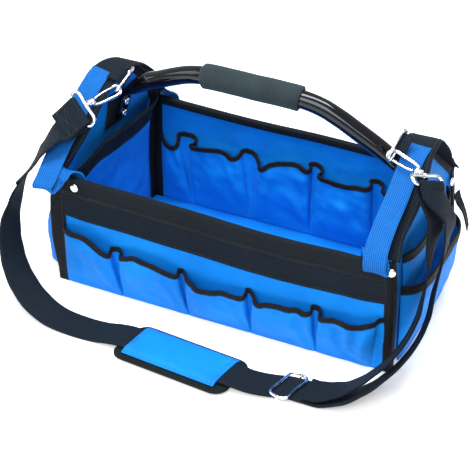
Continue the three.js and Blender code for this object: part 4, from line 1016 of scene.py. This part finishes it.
RIGHT_LOW = [[1.2, 4], [30, 14], [62, 20], [90, 23.5]]
RIGHT_HIGH = [[40, 1.5], [70, 3.5], [100, 6.5], [126, 10.5]]
LEFT_OUT = [[3, 25], [34, 24], [62, 19], [88, 15]]
LEFT_IN = [[WALL + 1, 3], [50, 6], [95, 10.5], [133, 13.5]]
for nm, nd, td, side, rows, y0, y1, power, inside, h in (
        ("right_low_cloth", "right_low_pocket", "right_low_tape", 1, RIGHT_LOW, -87, 87, 6, False, 8),
        ("right_high_cloth", "right_high_pocket", "right_high_tape", 1, RIGHT_HIGH, -80, 80, 5, False, 8),
        ("left_outer_cloth", "left_outer_pocket", "left_outer_tape", -1, LEFT_OUT, -90, 90, 13, False, 8),
        ("left_inner_cloth", "left_inner_pocket", "left_inner_tape", -1, LEFT_IN, -78, 84, 5, True, 27)):
    G = end_pocket(side, rows, y0, y1, power, inside, 400 + len(nm))
    place(nm, slab(G, SHEET_T), BLUE, [nd])
    M, D, N = edge_frame(G)
    if inside:
        # deep folded band that follows the leaning wall; it is black all the way down, partly the pocket's binding and
        # partly painted shade standing in for the dark open mouth of the pocket
        binding_and_shade_band = end_pocket(side, [[132.4, 13.5], [147, 14.5], [161, 16]], y0, y1, power, inside, 415, 64, 14)
        place(nm + "_mouth", slab(binding_and_shade_band, 2.8), EDGE, [td])
        seam = [stitches(binding_and_shade_band[2:-2, k] + V(-side * 1.5, 0, 0), [V(-side, 0, 0)] * (len(binding_and_shade_band) - 4), r=0.24) for k in (1, 12)]
        place(nm + "_sewing", join_data(seam), THREAD_BLACK)
        continue
    place(nm + "_mouth", tape_along(M, D, N, -2.2, h + 0.6, 3.0, seed=410), TAPE, [td])
    place(nm + "_sewing", join_data([stitches(M + D * (-0.6) + N * (s * 1.6), N * s, r=0.24, lift=0.0) for s in (1, -1)]), THREAD_BLACK)


# ================================================================ blue side webbings
def on_arch(side, x, y):
    n = arch_frame(y, side)[1]
    return [x, y, float(arch_top(y, side)) + (ARCH_LIFT + BAND_T / 2 + GAP + 1.5) / max(0.6, n[2])]


WEBS = {
    "side_web_lf": [on_arch(-1, -196, -19), on_arch(-1, -199, -32), on_arch(-1, -203, -45), [-208, -72, 188], [-210, -104, 163], [-210, -128, 144],
                    [-210, -137, 137], [-208, -134, 133], [-205, -126, 138], [-199, -120, 147], [-193, -112, 150.5], [-187, -105.2, 144], [-184, -104.6, 131]],
    "side_web_rf": [on_arch(1, 194, -10), on_arch(1, 193, -27), on_arch(1, 192, -43), [192, -70, 191], [191, -95, 173], [192, -118, 155],
                    [194, -127, 141], [195, -126.5, 134.5], [196, -122.6, 133.6], [195, -120.2, 140], [192, -118.6, 147], [187, -111, 149.5], [183, -105, 143], [182, -104.4, 131]],
    "side_web_lb": [on_arch(-1, -190, 46), on_arch(-1, -190, 56), on_arch(-1, -190, 66), [-188, 98, 160], [-187, 112, 151], [-186, 119, 143],
                    [-186, 120.5, 136], [-186, 118, 131.5], [-186, 116, 127]],
    "side_web_rb": [on_arch(1, 182, 46), on_arch(1, 181, 56), on_arch(1, 180, 66), [178, 98, 160], [177, 112, 151], [176, 119, 143],
                    [176, 120.5, 136], [176, 118, 131.5], [176, 116, 127]],
}
for nm, pts in WEBS.items():
    rows = [(p, [1, 0, 0], SIDE_WEB_W) for p in pts]
    P, W, N, H = ribbon_frames(rows, 12)
    data, _ = webbing_data(P, W, N, H, BAND_T, curl=0.35, wave=0.3, seed=500)
    place(nm + "_cloth", data, WEB_BLUE, [nm])
    up = N if N[0][2] > 0 else -N
    seam = []
    for k in (3, 40):
        a = P[k] + up[k] * (BAND_T / 2 - 0.05)
        line = [a + W[k] * s for s in np.linspace(-H[k] + 2.2, H[k] - 2.2, 12)]
        seam.append(stitches(line, [up[k]] * 12, pitch=2.8, length=2.0, r=0.26))
    for s in (-1, 1):
        line = [P[k] + up[k] * (BAND_T / 2 - 0.05) + W[k] * s * (H[k] - 2.2) for k in range(3, 41)]
        seam.append(stitches(line, up[3:41], pitch=2.8, length=2.0, r=0.24))
    place(nm + "_sewing", join_data(seam), THREAD_BLUE)

rows = [([201.5, 97, 117], [0.1, 1, 0], 13), ([204.5, 98, 107], [0, 1, 0.2], 13), ([211, 99, 95], [-0.25, 1, 0.2], 14), ([217, 100, 72], [-0.25, 1, 0], 15)]
P, W, N, H = ribbon_frames(rows, 12)
data, _ = webbing_data(P, W, N, H, 1.6, curl=0.5, wave=0.5, seed=9, k=7)
place("tail", data, WEB_BLACK, ["tail_strap"])


# ================================================================ handle
def tab_x(side, z):
    return float(end_x(side, 3, z)) - side * (WALL + 5.6)


HANDLE = [
    [tab_x(-1, 166), 3, 166, 9, 1.6], [tab_x(-1, 180), 3, 180, 9.5, 1.6], [tab_x(-1, 190), 3, 190, 9.5, 1.7], [-178.5, 3, 199, 10.5, 2.4], [-172, 3, 207, 12, 5.5],
    [-163, 2, 213.5, 11, 9], [-151, 0, 222, TUBE_R, TUBE_R], [-130, -3, 231.5, TUBE_R, TUBE_R], [-108, -7, 242, TUBE_R, TUBE_R],
    [-88, -10, 250, TUBE_R, TUBE_R], [-66, -13, 255, TUBE_R, TUBE_R], [-6, -14, 255.5, TUBE_R, TUBE_R], [52, -13, 254, TUBE_R, TUBE_R],
    [76, -9, 247.5, TUBE_R, TUBE_R], [96, -6, 237.5, TUBE_R, TUBE_R], [118, -3, 224, TUBE_R, TUBE_R], [140, 0, 210, TUBE_R, TUBE_R],
    [153, 2, 201, 11, 9], [163, 3, 193.5, 12, 5.5], [170.5, 3, 186, 10.5, 2.4], [tab_x(1, 177), 3, 177, 9.5, 1.7], [tab_x(1, 165), 3, 165, 9.5, 1.6], [tab_x(1, 151), 3, 151, 9, 1.6]]
hc = Curve([r[:3] for r in HANDLE])
ht = hc.even(170)
hp, htan = hc.at(ht), hc.tangent(ht)
n_h = len(HANDLE) - 1
secs = []
for k, t in enumerate(ht):
    s = t * n_h
    a = min(int(s), n_h - 1)
    u = float(smooth(0, 1, s - a))
    w = unit(V(0, 1, 0) - htan[k] * htan[k][1])
    nn = np.cross(htan[k], w)
    hw, hh = mix(HANDLE[a][3], HANDLE[a + 1][3], u), mix(HANDLE[a][4], HANDLE[a + 1][4], u)
    g = (np.arange(40) + 0.5) / 40 * 2 * math.pi
    flat = np.clip((hw - hh) / 8, 0, 1)
    ex = 1 - 0.45 * flat
    cx = np.sign(np.cos(g)) * np.abs(np.cos(g)) ** ex
    sx = np.sign(np.sin(g)) * np.abs(np.sin(g)) ** ex
    if k in (0, len(ht) - 1):
        cx, sx = cx * 0.94, sx * 0.7
    secs.append(hp[k] + np.outer(cx * hw, w) + np.outer(sx * hh, nn))
place("tube", loops_mesh(np.array(secs)), TUBE, ["handle_tube"])


def handle_at(x):
    f = np.linspace(0.2, 0.8, 1500)
    q = hc.at(f)
    return float(np.interp(x, q[:, 0], f))


grip_secs = []
ga, gb = handle_at(-66), handle_at(53.5)
steps = 60
outer, inner = [], []
for k in range(steps + 1):
    f = k / steps
    t = mix(ga, gb, f)
    c, tt = hc.at([t])[0], hc.tangent([t])[0]
    w = unit(V(0, 1, 0) - tt * tt[1])
    nn = np.cross(tt, w)
    g = np.arange(48) / 48 * 2 * math.pi
    end = min(f, 1 - f) * 119
    r = GRIP_R - 1.5 * max(0, 1 - end / 1.6) ** 2
    rr = r + 0.16 * ripple(np.full(48, f * 119), g * 14, 600, 40.0)
    outer.append(c + np.outer(np.cos(g) * rr, w) + np.outer(np.sin(g) * rr, nn))
    inner.append(c + np.outer(np.cos(g) * (TUBE_R + 0.5), w) + np.outer(np.sin(g) * (TUBE_R + 0.5), nn))
m1 = [mix(outer[0], inner[0], f) for f in (0.25, 0.75)]
m2 = [mix(outer[-1], inner[-1], f) for f in (0.25, 0.75)]
grip = place("grip", loops_mesh(np.array(outer + m2 + inner[::-1] + m1[::-1]), closed=True), FOAM, ["handle_grip"])

for nm, side in (("handle_back_left", -1), ("handle_back_right", 1)):
    dz = 4 if side > 0 else 0
    G = [[V(float(end_x(side, y, z - dz)) - side * (WALL + GAP + 1.7), y, z - dz) for z in np.linspace(158 if side < 0 else 146, 204, 20)] for y in np.linspace(-26 if side > 0 else -22, 20, 16)]
    place(nm + "_patch", slab(np.array(G), 1.6), TAPE, [nm])
    edge = []
    for p, q in (((-24, 148), (-24, 202)), ((-24, 202), (18, 202)), ((18, 202), (18, 148)), ((18, 148), (-24, 148))):
        line = []
        for f in np.linspace(0, 1, 14):
            y, z = mix(p[0], q[0], f), mix(p[1], q[1], f) - dz
            line.append(V(float(end_x(side, y, z)) - side * (WALL + GAP + 2.5), y, z))
        edge.append(stitches(line, [V(-side, 0, 0)] * 14))
    place(nm + "_sewing", join_data(edge), THREAD_BLACK)


# ================================================================ rivets
def lathe(profile, at, normal, seg=32):
    n = unit(normal)
    a = unit(np.cross(n, V(0, 0, 1) if abs(n[2]) < 0.9 else V(1, 0, 0)))
    b = np.cross(n, a)
    verts, faces, uv = [], [], []
    rings = []
    for r, h in profile:
        c = np.asarray(at, float) + n * h
        if r < 1e-6:
            rings.append([len(verts)])
            verts.append(c)
        else:
            rings.append(list(range(len(verts), len(verts) + seg)))
            for k in range(seg):
                g = k / seg * 2 * math.pi
                verts.append(c + a * r * math.cos(g) + b * r * math.sin(g))
    for p, q in zip(rings[:-1], rings[1:]):
        for k in range(seg):
            l = (k + 1) % seg
            if len(p) == 1:
                f = (p[0], q[l], q[k])
            elif len(q) == 1:
                f = (p[k], p[l], q[0])
            else:
                f = (p[k], p[l], q[l], q[k])
            faces.append(f)
            uv += [(0, 0)] * len(f)
    if not fix_normals(verts, faces):
        faces = [tuple(reversed(f)) for f in faces]
    return np.array(verts), faces, np.array(uv, float)


def rivet(name, at, normal, r=5.2):
    prof = [(0, -0.3), (r * 0.98, -0.3), (r, 0.15), (r * 0.96, 0.6), (r * 0.86, 1.2), (r * 0.7, 1.62), (r * 0.55, 1.7), (r * 0.46, 1.55), (r * 0.38, 1.1), (r * 0.3, 1.0), (r * 0.12, 1.12), (0, 1.15)]
    place(name + "_cap", lathe(prof, at, normal), CHROME, [name])


rivet("rivet_lf", [-180, -117.3, 133], [0, -1, 0.03])
rivet("rivet_rf", [209.5, -116.6, 132], [0.25, -1, 0.03])
rivet("rivet_lb", [float(end_x(-1, 93, 145)) + WALL + 0.9, 92.5, 145], [1, 0, -0.2])
rivet("rivet_rb", [float(end_x(1, 93, 131)) + 3.1, 95, 131], [1, 0, 0.05])
for nm, side, z in (("handle_rivet_l1", -1, 189), ("handle_rivet_l2", -1, 173), ("handle_rivet_r1", 1, 169.5), ("handle_rivet_r2", 1, 158)):
    rivet(nm, [tab_x(side, z) - side * 3, 3, z], [-side, 0, -0.15], 4.6)


# ================================================================ rings, hooks and loops
def flat_path(O, U, W, pts, n, closed):
    c = Curve([[a, b, 0] for a, b in pts], closed)
    q = c.at(c.even(n))
    return np.array([O + U * a + W * b for a, b, _ in q])


VIEW = V(0.386, -0.758, 0.526)
HOOK_EYE, HOOK_NECK, LOOP_IN, LOOP_DEEP, ROD_R = 37.0, 8.0, 43.0, 12.0, 2.0
HOOKS = [
    dict(end="left", side=-1, eye=[-168.2, -34.6, 223.7], back=[-17.6, -43.8, -4.8], bow=[0.376, 0.65, 0.66], long=[0.78, -0.45, -0.43], strap=[-0.58, -0.23, -0.78]),
    dict(end="right", side=1, eye=[171, -34.7, 225], back=[35, -9.3, -7.4], bow=[0.204, 0.628, 0.754], long=[0.3, 0.78, -0.34], strap=[0.78, -0.36, -0.5]),
]
RING = [[-16.5, 0], [0, 0], [16.5, 0], [18.5, 3.5], [16, 8], [8, 10.3], [0, 10.6], [-8, 10.3], [-16, 8], [-18.5, 3.5]]
HOOK = [[-1, -1], [3, -3.8], [9, -5.4], [22, -5.8], [33, -5.9], [38.6, -4.6], [41.3, 0], [39.6, 4.1], [36, 5.2], [33, 5]]
bars = {}
for h in HOOKS:
    e = h["end"]
    E, bk = V(*h["eye"]), unit(h["back"])
    n = unit(VIEW - bk * VIEW.dot(bk))
    bow = V(*h["bow"])
    bow = unit(bow - n * bow.dot(n))
    S = E + bk * HOOK_EYE
    N0 = S + bk * HOOK_NECK
    C = E - n * 5.5 + bow * 17.2
    place("ring_" + e, rod_data(flat_path(C - bow * (5.0 if h["side"] > 0 else 0.0), bow, n, RING, 90, True), 1.75, 16, True), CHROME, ["d_ring_" + e])
    u = V(h["side"], 0, 0)
    u = unit(u - bow * u.dot(bow))
    w = unit(np.cross(bow, u))
    if w[2] < 0:
        w = -w
    tab = [[13, 11.6], [7, 11], [1.2, 8.8], [-2.6, 3], [-2.6, -1.8], [0.2, -3.2], [2.6, -1.6]] if h["side"] < 0 else [[13, 5.7], [7, 5.7], [1.8, 5], [-2.2, 2.5], [-2.9, -1.4], [-0.9, -3.1], [0.5, -3.2]]
    rows = [(C + u * a + w * b, bow, 20) for a, b in tab]
    P, W, N, H = ribbon_frames(rows, 8)
    data, _ = webbing_data(P, W, N, H, 1.5, curl=0.2, wave=0.1, seed=5, k=7)
    place("ring_tab_cloth_" + e, data, WEB_BLACK, ["ring_tab_" + e])
    along = -bk
    across = unit(np.cross(n, along))
    path = flat_path(S, along, across, HOOK, 90, False)
    f = np.linspace(0, 1, len(path))
    rr = ROD_R * (0.82 + 0.3 * np.sin(math.pi * np.clip(f * 1.0, 0, 1)) ** 2)
    rr[-1] *= 0.75
    hook = [rod_data(path, rr, 18)]
    hook.append(lathe([(0, -4.6), (2.6, -4.6), (3.9, -4.2), (4.3, -3.2), (4.3, -1.6), (3.5, -1.1), (3.5, -0.7), (4.4, -0.2), (4.6, 1.4), (4.2, 3.0), (2.8, 4.2), (0, 4.4)], S, along))
    # short round pin where the gate is carried
    pin = S + along * 6.6 + across * 2.4
    hook.append(lathe([(0, -1.9), (1.0, -1.9), (1.25, -1.6), (1.25, 1.6), (1.0, 1.9), (0, 1.9)], pin, np.cross(along, across), 20))
    place("hook_body_" + e, join_data(hook), CHROME, ["hook_" + e])
    gate = [[7.4, 2.6], [14, 3.8], [24, 4.5], [32.2, 4.7]]
    gp = flat_path(S, along, across, gate, 36, False)
    gr = np.full(len(gp), 1.3)
    gr[0] *= 0.8
    gr[-1] *= 0.7
    place("gate_bar_" + e, rod_data(gp, gr, 14), CHROME, ["gate_" + e], body="gate_" + e)
    long = unit(h["long"])
    s = V(*h["strap"])
    s = unit(s - long * s.dot(long))
    a, d, q = LOOP_IN / 2 + ROD_R, LOOP_DEEP, 3.0
    rect = [[-a + q, 0], [0, 0], [a - q, 0], [a, q], [a, d - q], [a - q, d], [0, d], [-a + q, d], [-a, d - q], [-a, q]]
    loop = [rod_data(flat_path(N0, long, s, rect, 150, True), ROD_R, 16, True)]
    loop.append(lathe([(0, -1.6), (2.4, -1.6), (3.2, -0.6), (3.2, 0.6), (2.5, 1.6), (2.1, 2.6), (2.1, 3.4), (0, 3.5)], N0, S - N0))
    place("strap_loop_" + e, join_data(loop), CHROME, ["loop_" + e])
    bars[e] = dict(F=N0 + s * d, long=long)

# ================================================================ shoulder strap
WRAP_R = ROD_R + GAP + 0.15 + STRAP_T / 2


def around_bar(bar, way, k1):
    m = unit(np.cross(bar["long"], way)) * k1

    def at(a, b):
        return bar["F"] + m * a * WRAP_R + way * b
    return [at(1, 7), at(1, 1.5), at(0.72, -WRAP_R * 0.72), at(0, -WRAP_R * 1.02), at(-0.72, -WRAP_R * 0.72), at(-1, 1.5), at(-1, 7)]


bar = bars["left"]
way = unit([-0.52, -0.46, -0.72])
way = unit(way - bar["long"] * way.dot(bar["long"]))
m = unit(np.cross(bar["long"], way))
L = bar["long"]


def end_l(a, b):
    return bar["F"] + m * a + way * b


rows = [(end_l(-2.6, 30), L), (end_l(-2.8, 18), L)] + [(p, L) for p in around_bar(bar, way, -1)] + [(end_l(0.2, 22), L)]
rows += [([-213.6, -91.6, 186.8], [0.69, -0.72, 0.06]), ([-232.8, -101.6, 160.2], [0.575, -0.767, 0.283]), ([-247, -103.5, 136.9], [0.465, -0.77, 0.436]), ([-260, -101, 118], [0.386, -0.758, 0.526]), ([-265, -114, 90], [0.15, -0.85, 0.5]),
         ([-260, -134, 66], [-0.1, -0.88, 0.46]), ([-250, -148, 50], [-0.2, -0.89, 0.4]), ([-236, -162, 36], [-0.3, -0.9, 0.32]),
         ([-218, -173, 22], [-0.38, -0.9, 0.2]), ([-196, -182, 11], [-0.38, -0.92, 0.08]), ([-170, -188, 3.6], [-0.25, -0.97, 0.02]), ([-140, -190, 1.2], [-0.1, -1, 0]),
         ([-110, -189.5, 1.5], [0, -1, 0]), ([-90, -189.8, 5.4], [0.05, -1, 0]), ([-72, -191, 8], [0.09, -1, 0]), ([-40, -193.6, 8], [0.09, -1, 0]), ([-0.4, -197.1, 8], [0.09, -1, 0])]
P, W, N, H = ribbon_frames([(a, b, STRAP_W) for a, b in rows], 12)
data, strap_len_l = webbing_data(P, W, N, H, STRAP_T, curl=0.0, wave=0.12, seed=700)
strap_l = place("shoulder_strap_left", data, WEB_BLACK, ["strap_left"])
box_x = []
up = -N if N[2][1] > 0 else N
nn = N[4] if N[4].dot(VIEW) > 0 else -N[4]
for line in ([(-17, 12), (17, 12)], [(-17, 24), (17, 24)], [(-17, 12), (-17, 24)], [(17, 12), (17, 24)], [(-17, 12), (17, 24)], [(-17, 24), (17, 12)]):
    (p0, q0), (p1, q1) = line
    pts = [bar["F"] + L * mix(p0, p1, f) + way * mix(q0, q1, f) + m * (3.9 if nn.dot(m) > 0 else -3.9) for f in np.linspace(0, 1, 12)]
    box_x.append(stitches(pts, [nn] * 12, pitch=2.8, length=2.0, r=0.26))
place("strap_left_sewing", join_data(box_x), THREAD_BLACK)

bar = bars["right"]
way = unit([0.42, -0.1, -0.9])
way = unit(way - bar["long"] * way.dot(bar["long"]))
L = bar["long"]
rows = [([0.4, -197.2, 8], [-0.09, 1, 0]), ([40, -200.7, 8], [-0.09, 1, 0]), ([70, -202.8, 8], [-0.05, 1, 0]), ([88, -201, 5.4], [-0.1, 1, 0]),
        ([106, -196, 3.7], [-0.15, 1, 0]), ([127, -190, 3.7], [-0.1, 1, 0]), ([146, -188, 2.8], [-0.1, 1, 0]), ([164, -187, 1.6], [-0.25, 0.97, -0.03]), ([184, -183, 5], [-0.42, 0.88, -0.2]),
        ([203, -170, 10.5], [-0.45, 0.82, -0.42]), ([219, -151, 20], [-0.42, 0.77, -0.5]), ([232, -128, 33], [-0.4, 0.76, -0.52]),
        ([241, -108, 51], [-0.386, 0.758, -0.526]), ([245, -92, 72], [-0.386, 0.758, -0.526]), ([246, -82, 99], [-0.36, 0.77, -0.52]),
        ([247.5, -68.7, 124.4], [-0.3, 0.8, -0.5]), ([248, -57.4, 148.8], [-0.2, 0.85, -0.48]), ([247, -51, 173], [0, 0.87, -0.45])]
rows += [(p, L) for p in around_bar(bar, way, -1)]
rows += [([237, -65, 172], [0.1, 0.87, -0.45]), ([236, -73.4, 148.8], [-0.1, 0.87, -0.47]), ([238.5, -81.7, 124.4], [-0.25, 0.82, -0.5]),
         ([238, -91, 100], [-0.33, 0.79, -0.5]), ([236, -99, 76], [-0.38, 0.76, -0.52]), ([231, -112, 56], [-0.39, 0.76, -0.52]), ([222, -130, 38], [-0.4, 0.76, -0.52]),
         ([209, -151, 25], [-0.42, 0.77, -0.5]), ([194, -168, 16], [-0.45, 0.82, -0.42]), ([177, -179.5, 9.6], [-0.4, 0.88, -0.2]), ([160, -184.5, 5.3], [-0.25, 0.97, -0.03]), ([147, -186, 5.6], [-0.1, 1, 0])]
P, W, N, H = ribbon_frames([(a, b, STRAP_W) for a, b in rows], 12)
data, strap_len_r = webbing_data(P, W, N, H, STRAP_T, curl=0.0, wave=0.1, seed=720)
strap_r = place("shoulder_strap_right", data, WEB_BLACK, ["strap_right"])

# slider
C = V(127, -190, 6.55)
U = unit([0.18, 0.98, 0])
Wd = V(U[1], -U[0], 0)
a, b, q = STRAP_W / 2 + 2.6, 10.5, 3.0
rect = [[-a + q, -b], [0, -b], [a - q, -b], [a, -b + q], [a, b - q], [a - q, b], [0, b], [-a + q, b], [-a, b - q], [-a, -b + q]]
pp = flat_path(C, U, Wd, rect, 150, True)
low = V(C[0], C[1], 1.25)
parts = [rod_data(pp, 1.6, 16, True)]
for s in (1, -1):
    e1 = C + U * a * s
    parts.append(rod_data(np.linspace(V(e1[0], e1[1], 0.3), e1, 8), 1.35, 14))
parts.append(rod_data(np.linspace(low - U * (a + 0.9), low + U * (a + 0.9), 20), 1.15, 14))
place("slider_frame", join_data(parts), CHROME, ["slider"])


# ================================================================ pad
ANG, PX, PY = -0.09, -2.0, -197.3


def pad_at(u, v, z):
    return V(PX + u * math.cos(ANG) - v * math.sin(ANG), PY + u * math.sin(ANG) + v * math.cos(ANG), z)


def rounded_rect(a, b, r, n=10):
    out = []
    for sx, sy, a0 in ((1, 1, 0), (-1, 1, 1), (-1, -1, 2), (1, -1, 3)):
        for k in range(n + 1):
            g = (a0 + k / n) * math.pi / 2
            out.append((sx * (a - r) + r * math.cos(g), sy * (b - r) + r * math.sin(g)))
    # even spacing round the outline
    c = np.array(out + out[:1])
    Ls = np.concatenate([[0], np.cumsum(np.linalg.norm(np.diff(c, axis=0), axis=1))])
    s = np.linspace(0, Ls[-1], 161)[:-1]
    return np.stack([np.interp(s, Ls, c[:, 0]), np.interp(s, Ls, c[:, 1])], 1)


base = rounded_rect(PAD_L / 2, PAD_W / 2, 14)
rings = []
prof = [(0.0, 0.2, 0.0), (0.5, 0.1, 0.0), (0.8, 0.03, 0.02), (0.96, 0.0, 0.02), (0.985, 0.0, 0.25), (1.0, 0.0, 0.5), (0.995, 0, 0.75), (0.975, 0, 0.9), (0.95, 0, 0.86), (0.93, 0, 0.8), (0.88, 0, 0.92), (0.8, 0, 0.98), (0.6, 0, 1.0), (0.3, 0, 1.0)]
verts, faces, uv = [], [], []
ids = []
for f, lift, h in prof:
    if f == 0.0:
        ids.append([len(verts)])
        verts.append(pad_at(0, 0, 0.3))
        continue
    ring = []
    for (x, y) in base:
        g = f
        z = h * PAD_T + lift
        if 0.8 <= h < 1.0 or h == 1.0:
            z += 0.35 * float(ripple(x * f, y * f, 801, 34.0)) * (1 if f < 0.9 else 0.3)
            z -= 0.5 * (abs(x) > 64) * (h >= 0.98)
        k = g
        ring.append(len(verts))
        verts.append(pad_at(x * k, y * k, max(z, 0.05)))
    ids.append(ring)
ids.append([len(verts)])
verts.append(pad_at(0, 0, PAD_T))
for p, q in zip(ids[:-1], ids[1:]):
    for k in range(len(base)):
        l = (k + 1) % len(base)
        if len(p) == 1:
            fce = (p[0], q[l], q[k])
        elif len(q) == 1:
            fce = (p[k], p[l], q[0])
        else:
            fce = (p[k], p[l], q[l], q[k])
        faces.append(fce)
        uv += [(verts[x][0], verts[x][1]) for x in fce]
if not fix_normals(verts, faces):
    out, o, at = [], [], 0
    for f in faces:
        out.append(tuple(reversed(f)))
        o += list(reversed(uv[at:at + len(f)]))
        at += len(f)
    faces, uv = out, o
pad = place("shoulder_pad", (np.array(verts), faces, np.array(uv, float) * 0.001), PAD_CLOTH, ["pad"])
edge_pts = [pad_at(x * 0.985, y * 0.975, PAD_T * 0.5) for x, y in base]
place("pad_binding", rod_data(np.array(edge_pts), 1.9, 12, True, r2=1.9), TAPE)

us = np.linspace(-60, 60, 61)
vz = [[-27.5, 7.4], [-25, 7.9], [-22.5, 9.2], [-20.5, 10.1], [-14, 10.5], [0, 10.6], [14, 10.5], [20.5, 10.1], [22.5, 9.2], [25, 7.9], [27.5, 7.4]]
G = []
for u_ in us:
    row = []
    for v_ in np.linspace(-27.5, 27.5, 33):
        z = float(table(vz, v_)) + 0.35 * float(ripple(u_, v_, 811, 30.0)) * float(smooth(27, 20, abs(v_)))
        z -= 0.5 * float(smooth(54, 59, abs(u_))) * float(smooth(24, 18, abs(v_)))
        row.append(pad_at(u_, v_, z))
    G.append(row)
G = np.array(G)
place("pad_patch_cloth", slab(G, 1.4), BLUE, ["pad_patch"])
sew = []
for uu in (-57, -54.5, 54.5, 57):
    k = int(round((uu + 60) / 2))
    line = np.array([pad_at(uu, v_, float(table(vz, v_)) + 0.6 - (0.5 * float(smooth(54, 59, abs(uu))) * float(smooth(24, 18, abs(v_))))) for v_ in np.linspace(-26, 26, 40)])
    sew.append(stitches(line, [V(0, 0, 1)] * 40, pitch=2.8, length=2.0, r=0.26))
for vv in (-25.8, 25.8):
    line = np.array([pad_at(u_, vv, float(table(vz, vv)) + 0.75) for u_ in np.linspace(-59, 59, 60)])
    sew.append(stitches(line, [V(0, 0, 1)] * 60, pitch=2.8, length=2.0, r=0.26))
place("pad_patch_sewing", join_data(sew), THREAD_BLUE)

# ================================================================ floor, light and camera
floor = bpy.data.meshes.new("floor")
floor.from_pydata([(-40, -40, -0.0006), (40, -40, -0.0006), (40, 40, -0.0006), (-40, 40, -0.0006)], [], [(0, 1, 2, 3)])
floor_o = bpy.data.objects.new("floor", floor)
bpy.context.scene.collection.objects.link(floor_o)
fm, fnt, _, _, fp = nodes_of("pale_floor")
fp.inputs["Base Color"].default_value = (0.9, 0.9, 0.9, 1)
fp.inputs["Roughness"].default_value = 0.8
fp.inputs["Specular IOR Level"].default_value = 0.1
fp.inputs["Emission Color"].default_value = (1, 1, 1, 1)
fp.inputs["Emission Strength"].default_value = 0.3
floor.materials.append(fm)

scene = bpy.context.scene
world = bpy.data.worlds.new("studio")
scene.world = world
world.use_nodes = True
world.node_tree.nodes["Background"].inputs[0].default_value = (0.95, 0.97, 1.0, 1)
world.node_tree.nodes["Background"].inputs[1].default_value = 0.54


def area(name, loc, target, size, size_y, power):
    l = bpy.data.lights.new(name, "AREA")
    l.shape = "RECTANGLE"
    l.size, l.size_y = size, size_y
    l.energy = power
    o = bpy.data.objects.new(name, l)
    scene.collection.objects.link(o)
    o.location = loc
    o.rotation_euler = (Vector(target) - Vector(loc)).to_track_quat("-Z", "Y").to_euler()
    return o


area("key", (0.5, -2.0, 1.7), (0, 0, 0.1), 1.6, 1.4, 47)
area("side", (-1.9, -0.9, 1.3), (0, 0, 0.1), 1.0, 1.2, 11)
area("top", (0.05, -0.05, 1.7), (0, 0.03, 0.1), 1.6, 0.55, 44)

# camera at the photograph's angle
AZ, EL, DIST, F_PX = math.radians(26.979), math.radians(31.762), 2.1, 1825.279
back_v = V(math.sin(AZ) * math.cos(EL), -math.cos(AZ) * math.cos(EL), math.sin(EL))
right_v = V(math.cos(AZ), math.sin(AZ), 0)
up_v = np.cross(back_v, right_v)
target = V(0, 0, 0.12) + right_v * -0.030948 + up_v * -0.053933
cam = bpy.data.cameras.new("camera")
cam.lens = F_PX / 470 * 36
cam.sensor_width = 36
cam.clip_end = 200
cam_o = bpy.data.objects.new("camera", cam)
scene.collection.objects.link(cam_o)
cam_o.location = Vector(target + back_v * DIST)
cam_o.rotation_euler = Vector(-back_v).to_track_quat("-Z", "Y").to_euler()
scene.camera = cam_o
scene.view_settings.view_transform = "Standard"
scene.view_settings.look = "None"
scene.view_settings.exposure = 0.0

print("strap lengths mm", round(float(strap_len_l), 1), round(float(strap_len_r), 1))
